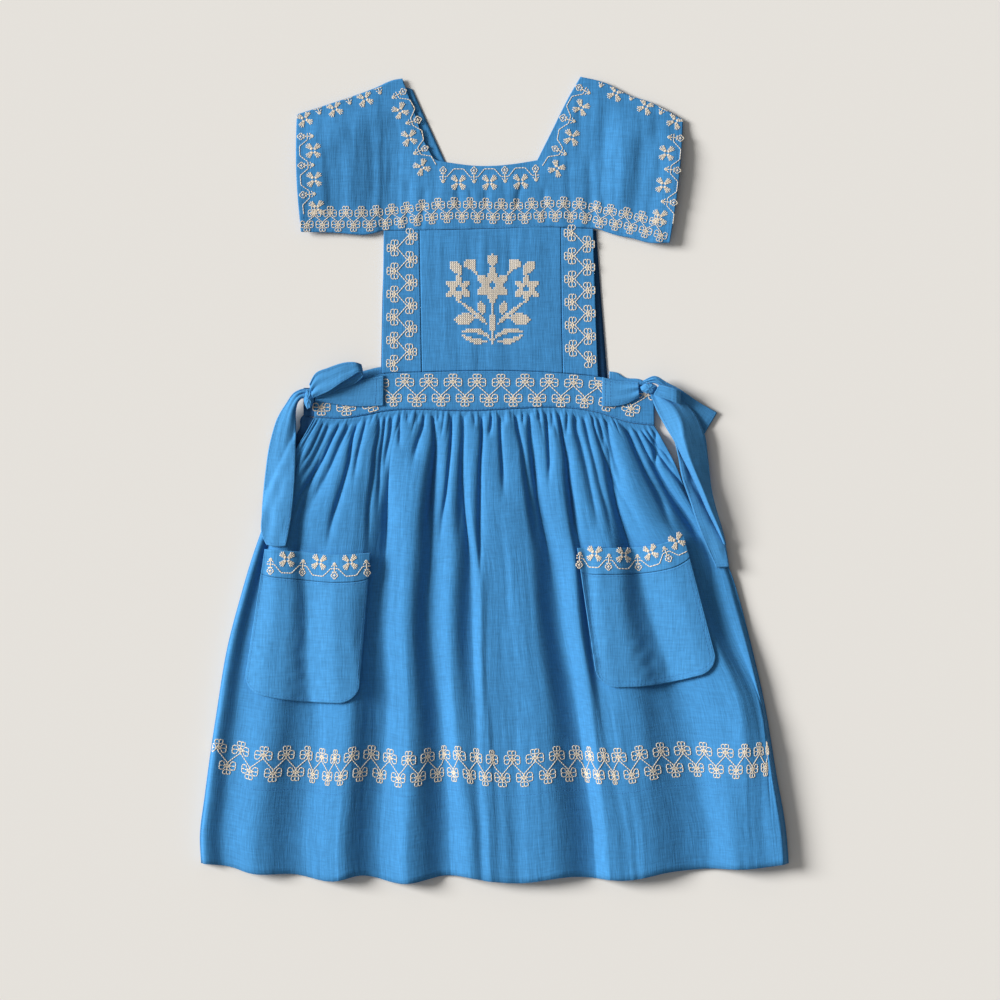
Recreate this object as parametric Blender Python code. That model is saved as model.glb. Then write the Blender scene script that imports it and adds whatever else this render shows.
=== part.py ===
"""Child's pinafore dress in blue cotton, laid flat on its back.

Z is up and the cloth's underside rests on Z = 0. Y runs from the hem to the shoulders and X
from the left of the laid-out dress to its right. Sizes in the tables are millimetres.
"""

import math

import bpy
import numpy as np

MM = 0.001

# Driving dimensions
CLOTH = 1.2
SEAM = 0.3
BACK_TOP = CLOTH
BACK_INSET = 1.2
LAYER = 1.9
FRONT_MID = 2.5
WAISTBAND_MID = 3.7
GATHERS = 42
GATHER_HEIGHT = 3.0
VALLEY_MID = 2.5
POCKET_CORNER = 16.0
CUFF_BOW = 2.0
OUTSIDE = 3.0

BLUE = (0.055, 0.245, 0.60)
TIE_BLUE = (0.065, 0.26, 0.62)

# Seam lines of the front, each a list of points from left to right.
YOKE_SEAM = [(-92, 204.2), (-50, 204.9), (-3.5, 206.0), (44, 207.3), (84, 205.8)]
WAIST_UPPER = [
    (-147.5, 80.5), (-118.5, 83), (-92.5, 87), (-59, 88.5),
    (56, 87.5), (86, 84.5), (107, 81), (131, 75.5),
]
WAIST_LOWER = [
    (-147.5, 51.5), (-122.5, 50.5), (-106, 53), (-90.5, 56),
    (-23.5, 56.5), (87.5, 54.5), (111, 47), (131, 44.5),
]

# Outline of the yoke with its sleeves, cut in one, in sections from the left cuff to the right.
# Under each stretch of the shoulder and neck edge lies a stretch of the lower edge.
YOKE_SECTIONS = [
    {
        "name": "left sleeve",
        "columns": 10,
        "upper": [(-162, 299.5), (-134, 308.5), (-98.5, 321), (-82, 328), (-75.5, 329)],
        "lower": [(-158.5, 203), (-134, 202.5), (-98.5, 202), (-92, 204.2)],
    },
    {
        "name": "neck, left side",
        "columns": 6,
        "upper": [(-75.5, 329), (-66, 302.5), (-55.5, 273.5), (-48, 262.5), (-40.5, 260.5)],
        "lower": [(-92, 204.2), (-70, 204.5), (-50, 204.9)],
    },
    {
        "name": "neck, front",
        "columns": 7,
        "upper": [(-40.5, 260.5), (-15.5, 257.5), (0, 257.5), (16, 259), (35, 262)],
        "lower": [(-50, 204.9), (-3.5, 206), (44, 207.3)],
    },
    {
        "name": "neck, right side",
        "columns": 6,
        "upper": [(35, 262), (47, 286), (61.5, 315), (70.5, 330.5)],
        "lower": [(44, 207.3), (64, 206.8), (84, 205.8)],
    },
    {
        "name": "right sleeve",
        "columns": 10,
        "upper": [(70.5, 330.5), (90.5, 325.5), (111, 315), (129, 309), (154.5, 295)],
        "lower": [(84, 205.8), (99.5, 200.5), (112, 198), (127, 194), (143.5, 194)],
    },
]

# How the front of the yoke and sleeves stands up from the back: rounded lifts.
YOKE_LIFTS = [
    {"x": -128, "y": 255, "reach_x": 34, "reach_y": 42, "height": 6.0},
    {"x": -163, "y": 240, "reach_x": 16, "reach_y": 55, "height": 3.0},
    {"x": 112, "y": 262, "reach_x": 30, "reach_y": 42, "height": 6.0},
    {"x": 154, "y": 250, "reach_x": 20, "reach_y": 60, "height": 4.0},
    {"x": 135, "y": 196, "reach_x": 22, "reach_y": 16, "height": 3.0},
    {"x": -20, "y": 236, "reach_x": 45, "reach_y": 20, "height": 1.6},
]

# Creases pressed into the lifted sleeves, from one plan point to another.
YOKE_CREASES = [
    {"start": (-79, 308), "end": (-83, 203), "width": 7.0, "depth": 2.6},
    {"start": (-100, 300), "end": (-103, 215), "width": 8.0, "depth": 1.8},
    {"start": (-127, 285), "end": (-126, 215), "width": 9.0, "depth": 2.0},
    {"start": (90, 308), "end": (86, 214), "width": 8.0, "depth": 2.0},
    {"start": (124, 292), "end": (114, 214), "width": 9.0, "depth": 2.2},
]

# Edges of the bib: the seams between its panel and its bands, and the outer edges of the bands.
BIB_COLUMNS = {
    "outer left": {"top": -90.8, "middle": -91.5, "bottom": -92.5},
    "seam left": {"top": -61.5, "middle": -60.5, "bottom": -59.5},
    "seam right": {"top": 54.5, "middle": 55.0, "bottom": 56.0},
    "outer right": {"top": 81.0, "middle": 82.6, "bottom": 85.0},
}

# Outline of the bodice's back, anticlockwise from the left end of the waist.
BACK_BIB = [
    (-93.2, 84.5), (93.0, 81.5), (87.5, 150.0), (83.5, 206.5),
    (44, 207.4), (-3.5, 206.2), (-50, 205.0), (-89.5, 204.2), (-92.0, 150),
]

# Side edges of the front skirt, from the waist to the hem, and its hem line, by shares of its size.
SKIRT_LEFT = [
    (0.0, -147.5), (0.035, -154.5), (0.066, -161.4), (0.16, -177.5), (0.253, -190.7), (0.324, -199.7),
    (0.40, -207.9), (0.51, -218.5), (0.656, -227.5), (0.846, -237.4), (0.943, -241.5), (1.0, -240.5),
]
SKIRT_RIGHT = [
    (0.0, 131), (0.05, 141), (0.092, 148.7), (0.136, 155), (0.20, 167), (0.33, 193), (0.40, 201),
    (0.48, 208.5), (0.63, 221), (0.79, 230.5), (0.93, 239), (1.0, 241.0),
]
SKIRT_HEM = [
    (0.0, -314), (0.055, -317.5), (0.08, -321.5), (0.16, -323), (0.225, -328.5), (0.27, -324),
    (0.345, -330.5), (0.42, -324), (0.50, -329), (0.535, -330), (0.63, -325), (0.73, -327.5),
    (0.80, -321), (0.86, -318.5), (0.93, -318.5), (1.0, -314),
]

# Large folds of the front skirt from left to right. Each row gives where its crest and the valley to
# the crest's right lie, as shares of the skirt's width at five levels down it, and their heights.
FOLD_LEVELS = (0.08, 0.23, 0.41, 0.62, 0.90)
FOLDS = [
    {
        "crest": (0.005, 0.005, 0.006, 0.006, 0.007),
        "valley": (0.021, 0.023, 0.030, 0.037, 0.041),
        "top": 7.5,
        "floor": 2.5,
        "hem": 2.5,
    },
    {
        "crest": (0.037, 0.039, 0.088, 0.099, 0.096),
        "valley": (0.071, 0.080, 0.130, 0.166, 0.174),
        "top": 9.8,
        "floor": 3.2,
        "hem": 2.8,
    },
    {
        "crest": (0.185, 0.211, 0.210, 0.238, 0.239),
        "valley": (0.259, 0.277, 0.285, 0.302, 0.301),
        "top": 11.8,
        "floor": 2.5,
        "hem": 2.5,
    },
    {
        "crest": (0.343, 0.339, 0.341, 0.354, 0.357),
        "valley": (0.375, 0.377, 0.377, 0.401, 0.421),
        "top": 12.0,
        "floor": 2.5,
        "hem": 2.5,
    },
    {
        "crest": (0.427, 0.430, 0.425, 0.435, 0.464),
        "valley": (0.446, 0.455, 0.461, 0.470, 0.479),
        "top": 10.5,
        "floor": 4.5,
        "hem": 9.2,
    },
    {
        "crest": (0.475, 0.473, 0.483, 0.486, 0.495),
        "valley": (0.499, 0.491, 0.499, 0.501, 0.512),
        "top": 10.4,
        "floor": 9.5,
        "hem": 9.9,
    },
    {
        "crest": (0.602, 0.586, 0.583, 0.595, 0.601),
        "valley": (0.631, 0.625, 0.629, 0.650, 0.670),
        "top": 11.6,
        "floor": 2.5,
        "hem": 2.5,
    },
    {
        "crest": (0.697, 0.682, 0.673, 0.683, 0.698),
        "valley": (0.723, 0.700, 0.691, 0.700, 0.727),
        "top": 11.0,
        "floor": 6.5,
        "hem": 10.6,
    },
    {
        "crest": (0.781, 0.766, 0.743, 0.751, 0.761),
        "valley": (0.828, 0.805, 0.802, 0.836, 0.861),
        "top": 12.0,
        "floor": 2.5,
        "hem": 2.5,
    },
    {
        "crest": (0.871, 0.875, 0.902, 0.941, 0.919),
        "valley": (0.929, 0.973, 0.952, 0.989, 0.973),
        "top": 12.0,
        "floor": 2.8,
        "hem": 4.0,
    },
    {
        "crest": (0.971, 0.986, 0.986, 0.994, 0.988),
        "valley": (1.0, 1.0, 1.0, 1.0, 1.0),
        "top": 5.0,
        "floor": 2.5,
        "hem": 2.5,
    },
]

# How far down the skirt the folds take to rise, and where they turn into round waves and then into
# the hem's own folds, as a share down the skirt and the length of the change. Then the lift of the
# hem's right corner.
FOLD_RISE = 0.24
ROUND_FOLDS = (0.18, 0.27)
HEM_FOLDS = (0.45, 0.3)
HEM_CORNER = 8.0

# Columns of the skirt's mesh below its gathers, over its whole width: twice as many at the gathers.
SKIRT_COLUMNS = 84

# Corners of the patch pockets, with the wave in the top edge of the right one.
POCKETS = [
    {
        "side": "left",
        "top": [(-188, -56.5), (-160, -58.5), (-128, -61), (-101.5, -59.5)],
        "bottom": [(-206, -173.5), (-165, -180.5), (-111.5, -183)],
        "band": 23.0,
    },
    {
        "side": "right",
        "top": [(67.5, -55.5), (100, -55.5), (122, -54.5), (140, -51), (154.5, -44.5)],
        "bottom": [(84.5, -170), (130, -168), (184, -156)],
        "band": 21.5,
    },
]

# Ribbons of the bows: rows of points across the tie, from where it starts to where it ends. Where a
# ribbon lies over the skirt it keeps this clearance from it.
RIBBONS = [
    {
        "name": "tie_left_strap",
        "rows": 9,
        "columns": 5,
        "clearance": 0,
        "stations": [
            [(-90.6, 85.7, 5.3), (-90.6, 73.0, 5.3), (-90.6, 60.8, 5.3)],
            [(-108.7, 82.0, 5.3), (-111.0, 71.0, 5.8), (-113.0, 60.3, 5.3)],
            [(-126.7, 77.0, 5.6), (-128.0, 69.5, 6.4), (-129.5, 62.0, 5.6)],
            [(-146.8, 69.8, 6.2), (-146.8, 67.3, 7.0), (-146.8, 64.8, 6.2)],
        ],
    },
    {
        "name": "tie_left_loop",
        "rows": 19,
        "columns": 5,
        "clearance": 0,
        "stations": [
            [(-146.2, 78.0, 9.1), (-146.2, 66.2, 9.1)],
            [(-135.0, 86.0, 8.9), (-136.1, 69.8, 8.9)],
            [(-122.0, 91.0, 8.9), (-125.7, 75.0, 8.9)],
            [(-112.5, 93.0, 9.2), (-112.0, 80.5, 9.2)],
            [(-109.0, 94.4, 11.4), (-107.6, 85.3, 11.4)],
            [(-111.5, 95.6, 13.4), (-109.6, 87.8, 13.4)],
            [(-119.0, 96.4, 14.2), (-120.0, 82.4, 14.2)],
            [(-136.1, 91.7, 15.2), (-136.1, 72.2, 15.2)],
            [(-146.5, 87.0, 14.6), (-143.5, 69.0, 14.4)],
            [(-151.5, 78.0, 13.4), (-148.7, 66.9, 13.2)],
        ],
    },
    {
        "name": "tie_left_tail",
        "rows": 19,
        "columns": 5,
        "clearance": 1.7,
        "stations": [
            [(-156.9, 74.2, 8.0), (-157.1, 70.5, 9.0), (-157.1, 66.6, 8.0)],
            [(-163.5, 71.6, 7.6), (-161.5, 67.5, 10.0), (-160.2, 64.0, 8.6)],
            [(-170.5, 62.5, 6.6), (-166.0, 60.0, 9.6), (-162.2, 57.5, 7.6)],
            [(-177.8, 50.5, 5.4), (-170.0, 47.5, 8.4), (-162.5, 45.0, 6.4)],
            [(-183.3, 33.0, 5.0), (-173.0, 31.8, 7.6), (-162.5, 31.0, 6.0)],
            [(-188.0, 3.0, 5.2), (-176.0, 2.0, 7.6), (-163.2, 1.0, 7.0)],
            [(-190.3, -26.0, 5.4), (-178.0, -28.0, 8.0), (-165.5, -27.0, 7.0)],
            [(-189.5, -47.0, 5.4), (-179.5, -49.0, 8.0), (-169.2, -48.5, 7.0)],
            [(-186.5, -53.0, 5.0), (-178.5, -54.6, 6.6), (-170.6, -54.0, 6.0)],
        ],
    },
    {
        "name": "tie_right_strap",
        "rows": 8,
        "columns": 5,
        "clearance": 0,
        "stations": [
            [(88.3, 84.4, 5.3), (88.3, 72.0, 5.4), (88.3, 60.2, 5.3)],
            [(100.0, 81.2, 5.3), (100.0, 71.0, 6.0), (99.5, 60.4, 5.3)],
            [(110.0, 80.8, 5.4), (110.0, 72.5, 6.6), (110.0, 62.8, 5.4)],
            [(118.0, 79.6, 6.0), (118.2, 74.4, 7.2), (118.8, 67.5, 6.0)],
        ],
    },
    {
        "name": "tie_right_flap",
        "rows": 13,
        "columns": 4,
        "clearance": 0,
        "stations": [
            [(121.5, 81.0, 8.2), (124.5, 79.7, 8.4)],
            [(130.8, 84.8, 8.2), (133.2, 78.4, 8.4)],
            [(141.0, 79.8, 7.6), (140.0, 70.6, 7.0)],
            [(151.8, 74.2, 7.4), (148.0, 63.0, 6.8)],
            [(166.2, 64.5, 7.4), (158.0, 51.0, 6.5)],
            [(182.6, 55.2, 8.6), (171.6, 37.2, 7.4)],
        ],
    },
    {
        "name": "tie_right_loop",
        "rows": 17,
        "columns": 4,
        "clearance": 0,
        "stations": [
            [(136.0, 77.0, 10.9), (134.0, 69.0, 10.9)],
            [(143.0, 75.4, 11.1), (142.5, 65.4, 11.1)],
            [(149.0, 73.8, 11.6), (149.2, 62.6, 11.6)],
            [(151.6, 73.0, 13.6), (152.0, 61.8, 13.6)],
            [(149.6, 73.8, 15.4), (149.8, 62.4, 15.4)],
            [(143.0, 75.8, 16.2), (142.5, 65.2, 16.2)],
            [(134.6, 77.8, 14.8), (130.0, 69.8, 14.6)],
        ],
    },
    {
        "name": "tie_right_tail_upper",
        "rows": 21,
        "columns": 5,
        "clearance": 4.4,
        "stations": [
            [(127.8, 69.9, 7.6), (134.0, 70.4, 8.4), (139.6, 70.6, 8.8)],
            [(132.3, 57.6, 6.8), (145.5, 60.5, 9.4), (152.0, 66.5, 8.8)],
            [(139.8, 43.8, 6.4), (152.0, 48.0, 12.5), (163.5, 55.5, 10.2)],
            [(147.4, 31.2, 6.6), (154.8, 33.0, 13.5), (172.0, 37.0, 10.6)],
            [(153.7, 18.7, 8.6), (159.0, 19.2, 13.5), (174.6, 18.5, 10.0)],
            [(166.2, -6.4, 9.0), (169.6, -6.4, 12.0), (177.6, -8.0, 9.6)],
            [(173.8, -24.0, 9.0), (177.0, -24.6, 11.0), (182.0, -26.0, 9.0)],
            [(182.5, -41.6, 8.0), (184.6, -42.2, 9.4), (187.2, -43.4, 8.0)],
            [(187.6, -52.4, 7.6), (188.6, -52.8, 8.2), (189.6, -53.2, 7.6)],
        ],
    },
    {
        "name": "tie_right_tail_lower",
        "rows": 19,
        "columns": 4,
        "clearance": 1.5,
        "stations": [
            [(136.0, 62.5, 4.0), (145.0, 64.0, 4.0)],
            [(141.5, 49.0, 4.2), (154.0, 51.0, 4.2)],
            [(148.2, 29.8, 4.2), (164.0, 32.0, 4.4)],
            [(154.0, -0.2, 5.0), (172.0, 2.0, 5.0)],
            [(158.7, -13.9, 5.0), (177.0, -11.0, 5.0)],
            [(168.1, -41.6, 5.0), (185.0, -38.0, 5.0)],
            [(173.8, -55.4, 5.0), (189.2, -54.5, 5.0)],
            [(181.6, -71.8, 5.0), (192.0, -71.1, 5.0)],
        ],
    },
]

KNOTS = [
    {"name": "tie_left_knot", "middle": (-152.0, 66.5, 7.5), "half": (4.2, 8.4, 4.2)},
    {"name": "tie_right_knot", "middle": (126.6, 75.0, 8.6), "half": (7.2, 4.4, 3.8)},
]

# Ties of the back, which lie flat under the end of the waistband.
BACK_TIES = [
    {
        "name": "tie_left_back",
        "outline": [
            (-94.2, 64), (-94.2, 92.6), (-108.7, 89), (-126, 83.5), (-146, 75), (-146, 62), (-120, 60.5),
        ],
    },
    {
        "name": "tie_right_back",
        "outline": [
            (127, 64), (127, 78.5), (119.7, 82.4), (106.6, 84.4), (100.9, 87.9), (94.2, 89.1), (94.2, 62),
        ],
    },
]

# Outline of the back skirt where it shows past the front, from the waist down each side.
BACK_SKIRT_LEFT = [(-156.5, 54.0), (-158.5, 47.0), (-158.5, 38.8), (-162.0, 29.0)]
BACK_SKIRT_RIGHT = [(132.5, 46.0), (133.6, 36.2), (140.5, 33.0), (147.4, 30.0), (149.0, 25.0), (153.2, 0.0)]


def hermite(knots, values, at):
    """Smooth curve through values at knots, read at each of at."""
    knots = np.asarray(knots, float)
    values = np.asarray(values, float)
    slopes = np.gradient(values, knots, axis=0)
    at = np.clip(np.asarray(at, float), knots[0], knots[-1])
    i = np.clip(np.searchsorted(knots, at, side="right") - 1, 0, len(knots) - 2)
    span = knots[i + 1] - knots[i]
    t = (at - knots[i]) / span
    if values.ndim > 1:
        span, t = span[..., None], t[..., None]
    rise = values[i + 1] - values[i]
    hump = t * (1 - t) * span * ((1 - t) * (slopes[i] - rise / span) - t * (slopes[i + 1] - rise / span))
    return values[i] + rise * t + hump


def along(points, shares):
    """Points on the smooth line through points, at shares of its length."""
    points = np.asarray(points, float)
    lengths = np.r_[0, np.cumsum(np.linalg.norm(np.diff(points, axis=0), axis=1))]
    return hermite(lengths / lengths[-1], points, shares)


def smoothstep(t):
    t = np.clip(t, 0, 1)
    return t * t * (3 - 2 * t)


def material(name, colour):
    made = bpy.data.materials.new(name)
    made.use_nodes = True
    shader = made.node_tree.nodes["Principled BSDF"]
    shader.inputs["Base Color"].default_value = (*colour, 1)
    shader.inputs["Roughness"].default_value = 0.85
    shader.inputs["Metallic"].default_value = 0.0
    made.diffuse_color = (*colour, 1)
    return made


def add_object(name, points, faces, colour):
    mesh = bpy.data.meshes.new(name)
    mesh.from_pydata([tuple(p * MM) for p in points], [], faces)
    mesh.shade_smooth()
    mesh.set_sharp_from_angle(angle=math.radians(60))
    mesh.materials.append(material(name, colour))
    made = bpy.data.objects.new(name, mesh)
    bpy.context.scene.collection.objects.link(made)
    return made


def grid_faces(rows, columns):
    """Faces of a grid of points, seen from above with its rows running down and away from +Y."""
    faces = []
    for r in range(rows - 1):
        for c in range(columns - 1):
            a = r * columns + c
            faces.append((a, a + columns, a + columns + 1, a + 1))
    return faces


def cloth(name, points, faces, colour=BLUE):
    """Closed wall of cloth round an open middle surface."""
    points = np.asarray(points, float)
    normals = np.zeros_like(points)
    for face in faces:
        corners = points[list(face)]
        turn = np.cross(corners[2] - corners[0], corners[-1] - corners[1])
        normals[list(face)] += turn / np.linalg.norm(turn)
    normals /= np.linalg.norm(normals, axis=1, keepdims=True)
    count = len(points)
    both = np.concatenate([points + normals * CLOTH / 2, points - normals * CLOTH / 2])
    walls = list(faces) + [tuple(count + i for i in reversed(face)) for face in faces]
    edges = {(a, b) for face in faces for a, b in zip(face, face[1:] + face[:1])}
    for a, b in sorted(edges):
        if (b, a) not in edges:
            walls.append((b, a, count + a, count + b))
    return add_object(name, both, walls, colour)


def wall(name, middle, colour=BLUE):
    rows, columns = middle.shape[:2]
    return cloth(name, middle.reshape(-1, 3), grid_faces(rows, columns), colour)


def slab(name, outline, low, high, colour=BLUE):
    """Flat piece of cloth with this outline, which runs anticlockwise seen from above."""
    count = len(outline)
    points = [np.array((x, y, z)) for z in (low, high) for x, y in outline]
    faces = [tuple(range(count - 1, -1, -1)), tuple(range(count, 2 * count))]
    for a in range(count):
        b = (a + 1) % count
        faces.append((a, b, count + b, count + a))
    return add_object(name, points, faces, colour)


def seam_y(seam, x):
    return hermite(*zip(*seam), x)


def between(upper, lower, down):
    """Plan points from an upper line of points to a lower one, a row at each of these shares."""
    down = np.asarray(down, float)[:, None, None]
    return upper[None] * (1 - down) + lower[None] * down


def raised(plan, height):
    return np.dstack([plan, height])


# Yoke and sleeves

def yoke_edges():
    """Points along the shoulder and neck edge and along the lower edge, column for column."""
    upper, lower = [], []
    for section in YOKE_SECTIONS:
        shares = np.linspace(0, 1, section["columns"] + 1)
        if section is not YOKE_SECTIONS[-1]:
            shares = shares[:-1]
        upper.append(along(section["upper"], shares))
        lower.append(along(section["lower"], shares))
    return np.concatenate(upper), np.concatenate(lower)


def yoke_plan(down):
    upper, lower = yoke_edges()
    plan = between(upper, lower + (0, SEAM / 2), down)
    bow = CUFF_BOW * np.sin(math.pi * np.asarray(down))[:, None]
    plan[..., 0] -= bow * smoothstep((-130 - plan[..., 0]) / 30)
    plan[..., 0] += bow * smoothstep((plan[..., 0] - 120) / 30)
    return plan


def yoke_height(x, y):
    lift = np.zeros_like(x)
    for bump in YOKE_LIFTS:
        far = ((x - bump["x"]) / bump["reach_x"]) ** 2 + ((y - bump["y"]) / bump["reach_y"]) ** 2
        lift += bump["height"] * np.exp(-far)
    for crease in YOKE_CREASES:
        start, end = np.array(crease["start"], float), np.array(crease["end"], float)
        run = end - start
        share = ((x - start[0]) * run[0] + (y - start[1]) * run[1]) / (run @ run)
        aside = ((x - start[0]) * run[1] - (y - start[1]) * run[0]) / np.linalg.norm(run)
        fade = smoothstep(share / 0.3) * smoothstep((1 - share) / 0.3 + 0.4)
        lift -= crease["depth"] * np.exp(-((aside / crease["width"]) ** 2)) * fade
    return FRONT_MID + np.maximum(lift, 0)


def make_yoke():
    down = np.array([0, 0.08, 0.22, 0.38, 0.54, 0.70, 0.85, 1.0])
    plan = yoke_plan(down)
    height = yoke_height(plan[..., 0], plan[..., 1])
    shoulder = smoothstep(down / 0.22)[:, None]
    height = FRONT_MID + (height - FRONT_MID) * (0.25 + 0.75 * shoulder)
    wall("front_yoke", raised(plan, height))
    top, bottom = plan[0] + (0, -BACK_INSET), plan[-1] + (0, BACK_INSET)
    neck = (plan[0, :, 0] > -73) & (plan[0, :, 0] < -41)
    top[neck, 0] = np.interp(plan[0, neck, 1], (260.5, 329), (-40.0, -70.5))
    left = plan[1:-1, 0] + (BACK_INSET, 0)
    right = plan[-2:0:-1, -1] + (-BACK_INSET, 0)
    outline = [*left, *bottom, *right, *top[::-1]]
    slab("back_yoke", [tuple(p) for p in outline], 0, BACK_TOP)


# Bib

def bib_edge(name, down):
    column = BIB_COLUMNS[name]
    return hermite((0, 0.5, 1), (column["top"], column["middle"], column["bottom"]), down)


def bib_plan(left, right, columns, down):
    """Plan points of a panel of the bib between two of its column lines."""
    gap = SEAM / 2
    x_left = bib_edge(left, down) + (gap if left.startswith("seam") else 0)
    x_right = bib_edge(right, down) - (gap if right.startswith("seam") else 0)
    across = np.linspace(0, 1, columns)
    x = x_left[:, None] * (1 - across) + x_right[:, None] * across
    top = seam_y(YOKE_SEAM, x) - gap
    bottom = seam_y(WAIST_UPPER, x) + gap
    return np.dstack([x, top * (1 - down[:, None]) + bottom * down[:, None]])


def make_bib():
    down = np.linspace(0, 1, 7)
    plan = bib_plan("seam left", "seam right", 8, down)
    share = np.linspace(0, 1, 8)[None, :]
    puff = 1.0 * np.sin(math.pi * share) * np.sin(math.pi * down[:, None])
    wall("bib_panel", raised(plan, FRONT_MID + puff))
    for side, left, right in (("left", "outer left", "seam left"), ("right", "seam right", "outer right")):
        plan = bib_plan(left, right, 4, down)
        wall(f"bib_band_{side}", raised(plan, np.full(plan.shape[:2], FRONT_MID)))
    slab("back_bib", [(x, y - SEAM / 2) for x, y in BACK_BIB], 0, BACK_TOP)


# Waistband

def make_waistband():
    gap = SEAM / 2
    x = np.linspace(WAIST_LOWER[0][0], WAIST_LOWER[-1][0], 31)
    upper = np.column_stack([x, seam_y(WAIST_UPPER, x) - gap])
    lower = np.column_stack([x, seam_y(WAIST_LOWER, x) + gap])
    plan = between(upper, lower, np.linspace(0, 1, 4))
    wall("front_waistband", raised(plan, np.full(plan.shape[:2], WAISTBAND_MID)))
    x = np.linspace(-146, 131, 15)
    top = [(px, seam_y(WAIST_UPPER, px) - 1.5) for px in x]
    bottom = [(px, seam_y(WAIST_LOWER, px) - 1.0) for px in x]
    outline = [(-155.5, 55.0), *bottom[1:], (132.6, 45.0), (132.6, 73.0), *top[:0:-1], (-153.0, 76.0)]
    low = BACK_TOP + SEAM
    slab("back_waistband", [tuple(map(float, p)) for p in outline], low, low + CLOTH)


# Skirt

def fold_lines(v):
    """Shares across the skirt of its left edge, of each crest and valley and of its right edge."""
    lines = [np.zeros_like(v)]
    for fold in FOLDS:
        lines.append(hermite(FOLD_LEVELS, fold["crest"], v))
        lines.append(hermite(FOLD_LEVELS, fold["valley"], v))
    return lines


def waist_shares():
    """Shares of the waist where the large folds begin."""
    return np.concatenate(fold_lines(np.zeros(1)))


def fold_height(segment, t, u, v):
    """Rise of the large folds over the skirt's lowest level. Even segments rise to a crest and odd
    ones fall into a valley: near the waist they leave each valley steeply and fall slowly at
    first, and further down they are round waves."""
    heights = [VALLEY_MID] + [fold[level] for fold in FOLDS for level in ("top", "floor")]
    hems = [VALLEY_MID] + [fold[level] for fold in FOLDS for level in ("top", "hem")]
    low = smoothstep((v - HEM_FOLDS[0]) / HEM_FOLDS[1])
    start = np.take(heights, segment) * (1 - low) + np.take(hems, segment) * low
    end = np.take(heights, segment + 1) * (1 - low) + np.take(hems, segment + 1) * low
    crisp = np.where(segment % 2 == 0, np.sin(math.pi / 2 * t) ** 0.7, t**2.3)
    wave = (1 - np.cos(math.pi * t)) / 2
    ease = crisp + (wave - crisp) * smoothstep((v - ROUND_FOLDS[0]) / ROUND_FOLDS[1])
    fold = (start + (end - start) * ease - VALLEY_MID) * smoothstep(v / FOLD_RISE)
    corner = smoothstep((u - 0.92) / 0.06)
    edges = smoothstep(u / 0.007) * smoothstep((1 - u) / 0.010)
    return (fold + HEM_CORNER * smoothstep((v - 0.35) / 0.4) * corner) * edges


def gather_height(q, v):
    """Height of the gathers, which fade out at their own lengths down the skirt."""
    uneven = 0.004 * np.sin(2 * math.pi * 5.3 * q) + 0.003 * np.sin(2 * math.pi * 11.7 * q + 1)
    number = (q + uneven) * GATHERS
    wave = 0.5 + 0.5 * np.cos(2 * math.pi * number)
    index = np.round(number)
    reach = 0.10 + 0.22 * (0.5 + 0.5 * np.sin(index * 2.4 + np.cos(index * 1.7) * 2))
    return GATHER_HEIGHT * wave * (1 - smoothstep(v / reach))


def skirt_surface(segment, t, u, v):
    """Middle of the front skirt's cloth, for a share across and down it, t of the way over a fold's
    side."""
    shares = waist_shares()
    q = shares[segment] + t * (shares[segment + 1] - shares[segment])
    left = hermite(*zip(*SKIRT_LEFT), v)
    right = hermite(*zip(*SKIRT_RIGHT), v)
    waist_left, waist_right = WAIST_LOWER[0][0], WAIST_LOWER[-1][0]
    top = seam_y(WAIST_LOWER, waist_left + (waist_right - waist_left) * u) - SEAM / 2
    x = left + (right - left) * u
    y = top + (hermite(*zip(*SKIRT_HEM), u) - top) * v
    z = VALLEY_MID + (WAISTBAND_MID - VALLEY_MID) * (1 - smoothstep(v / 0.10))
    z = z + fold_height(segment, t, u, v) + gather_height(q, v)
    return np.stack([x, y, z], axis=-1)


def skirt_column(segment, t, v):
    """Points down the skirt that stay t of the way over one side of a fold."""
    v = np.asarray(v, float)
    lines = fold_lines(v)
    u = lines[segment] + t * (lines[segment + 1] - lines[segment])
    return skirt_surface(np.full(v.shape, segment), np.full(v.shape, float(t)), u, v)


def skirt_point(u, v):
    """Middle of the front skirt's cloth, for shares across and down it."""
    u, v = np.broadcast_arrays(np.asarray(u, float), np.asarray(v, float))
    lines = np.array(fold_lines(v))
    segment = np.clip((u[None] >= lines).sum(axis=0) - 1, 0, len(lines) - 2)
    start = np.take_along_axis(lines, segment[None], axis=0)[0]
    end = np.take_along_axis(lines, segment[None] + 1, axis=0)[0]
    t = np.clip((u - start) / np.maximum(end - start, 1e-6), 0, 1)
    return skirt_surface(segment, t, u, v)


def skirt_height(x, y):
    """Height of the front skirt's middle surface over a plan point, or 0 past its edges."""
    x, y = np.broadcast_arrays(np.asarray(x, float), np.asarray(y, float))
    length = WAIST_LOWER[0][1] - SKIRT_HEM[0][1]
    v = (WAIST_LOWER[0][1] - y) / length
    for _ in range(6):
        v = np.clip(v, 0, 1)
        left = hermite(*zip(*SKIRT_LEFT), v)
        right = hermite(*zip(*SKIRT_RIGHT), v)
        u = np.clip((x - left) / (right - left), 0, 1)
        v = v + (skirt_point(u, v)[..., 1] - y) / length
    found = skirt_point(u, np.clip(v, 0, 1))
    past = np.maximum(np.abs(found[..., 0] - x), np.abs(found[..., 1] - y))
    return np.where(past < OUTSIDE, found[..., 2], 0)


def cover(x, y, reach=4.0):
    """Highest middle of the front skirt near a plan point, for cloth that lies on it."""
    steps = (-reach, -reach / 2, 0, reach / 2, reach)
    return np.max([skirt_height(x + dx, y + dy) for dx in steps for dy in steps], axis=0)


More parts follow.
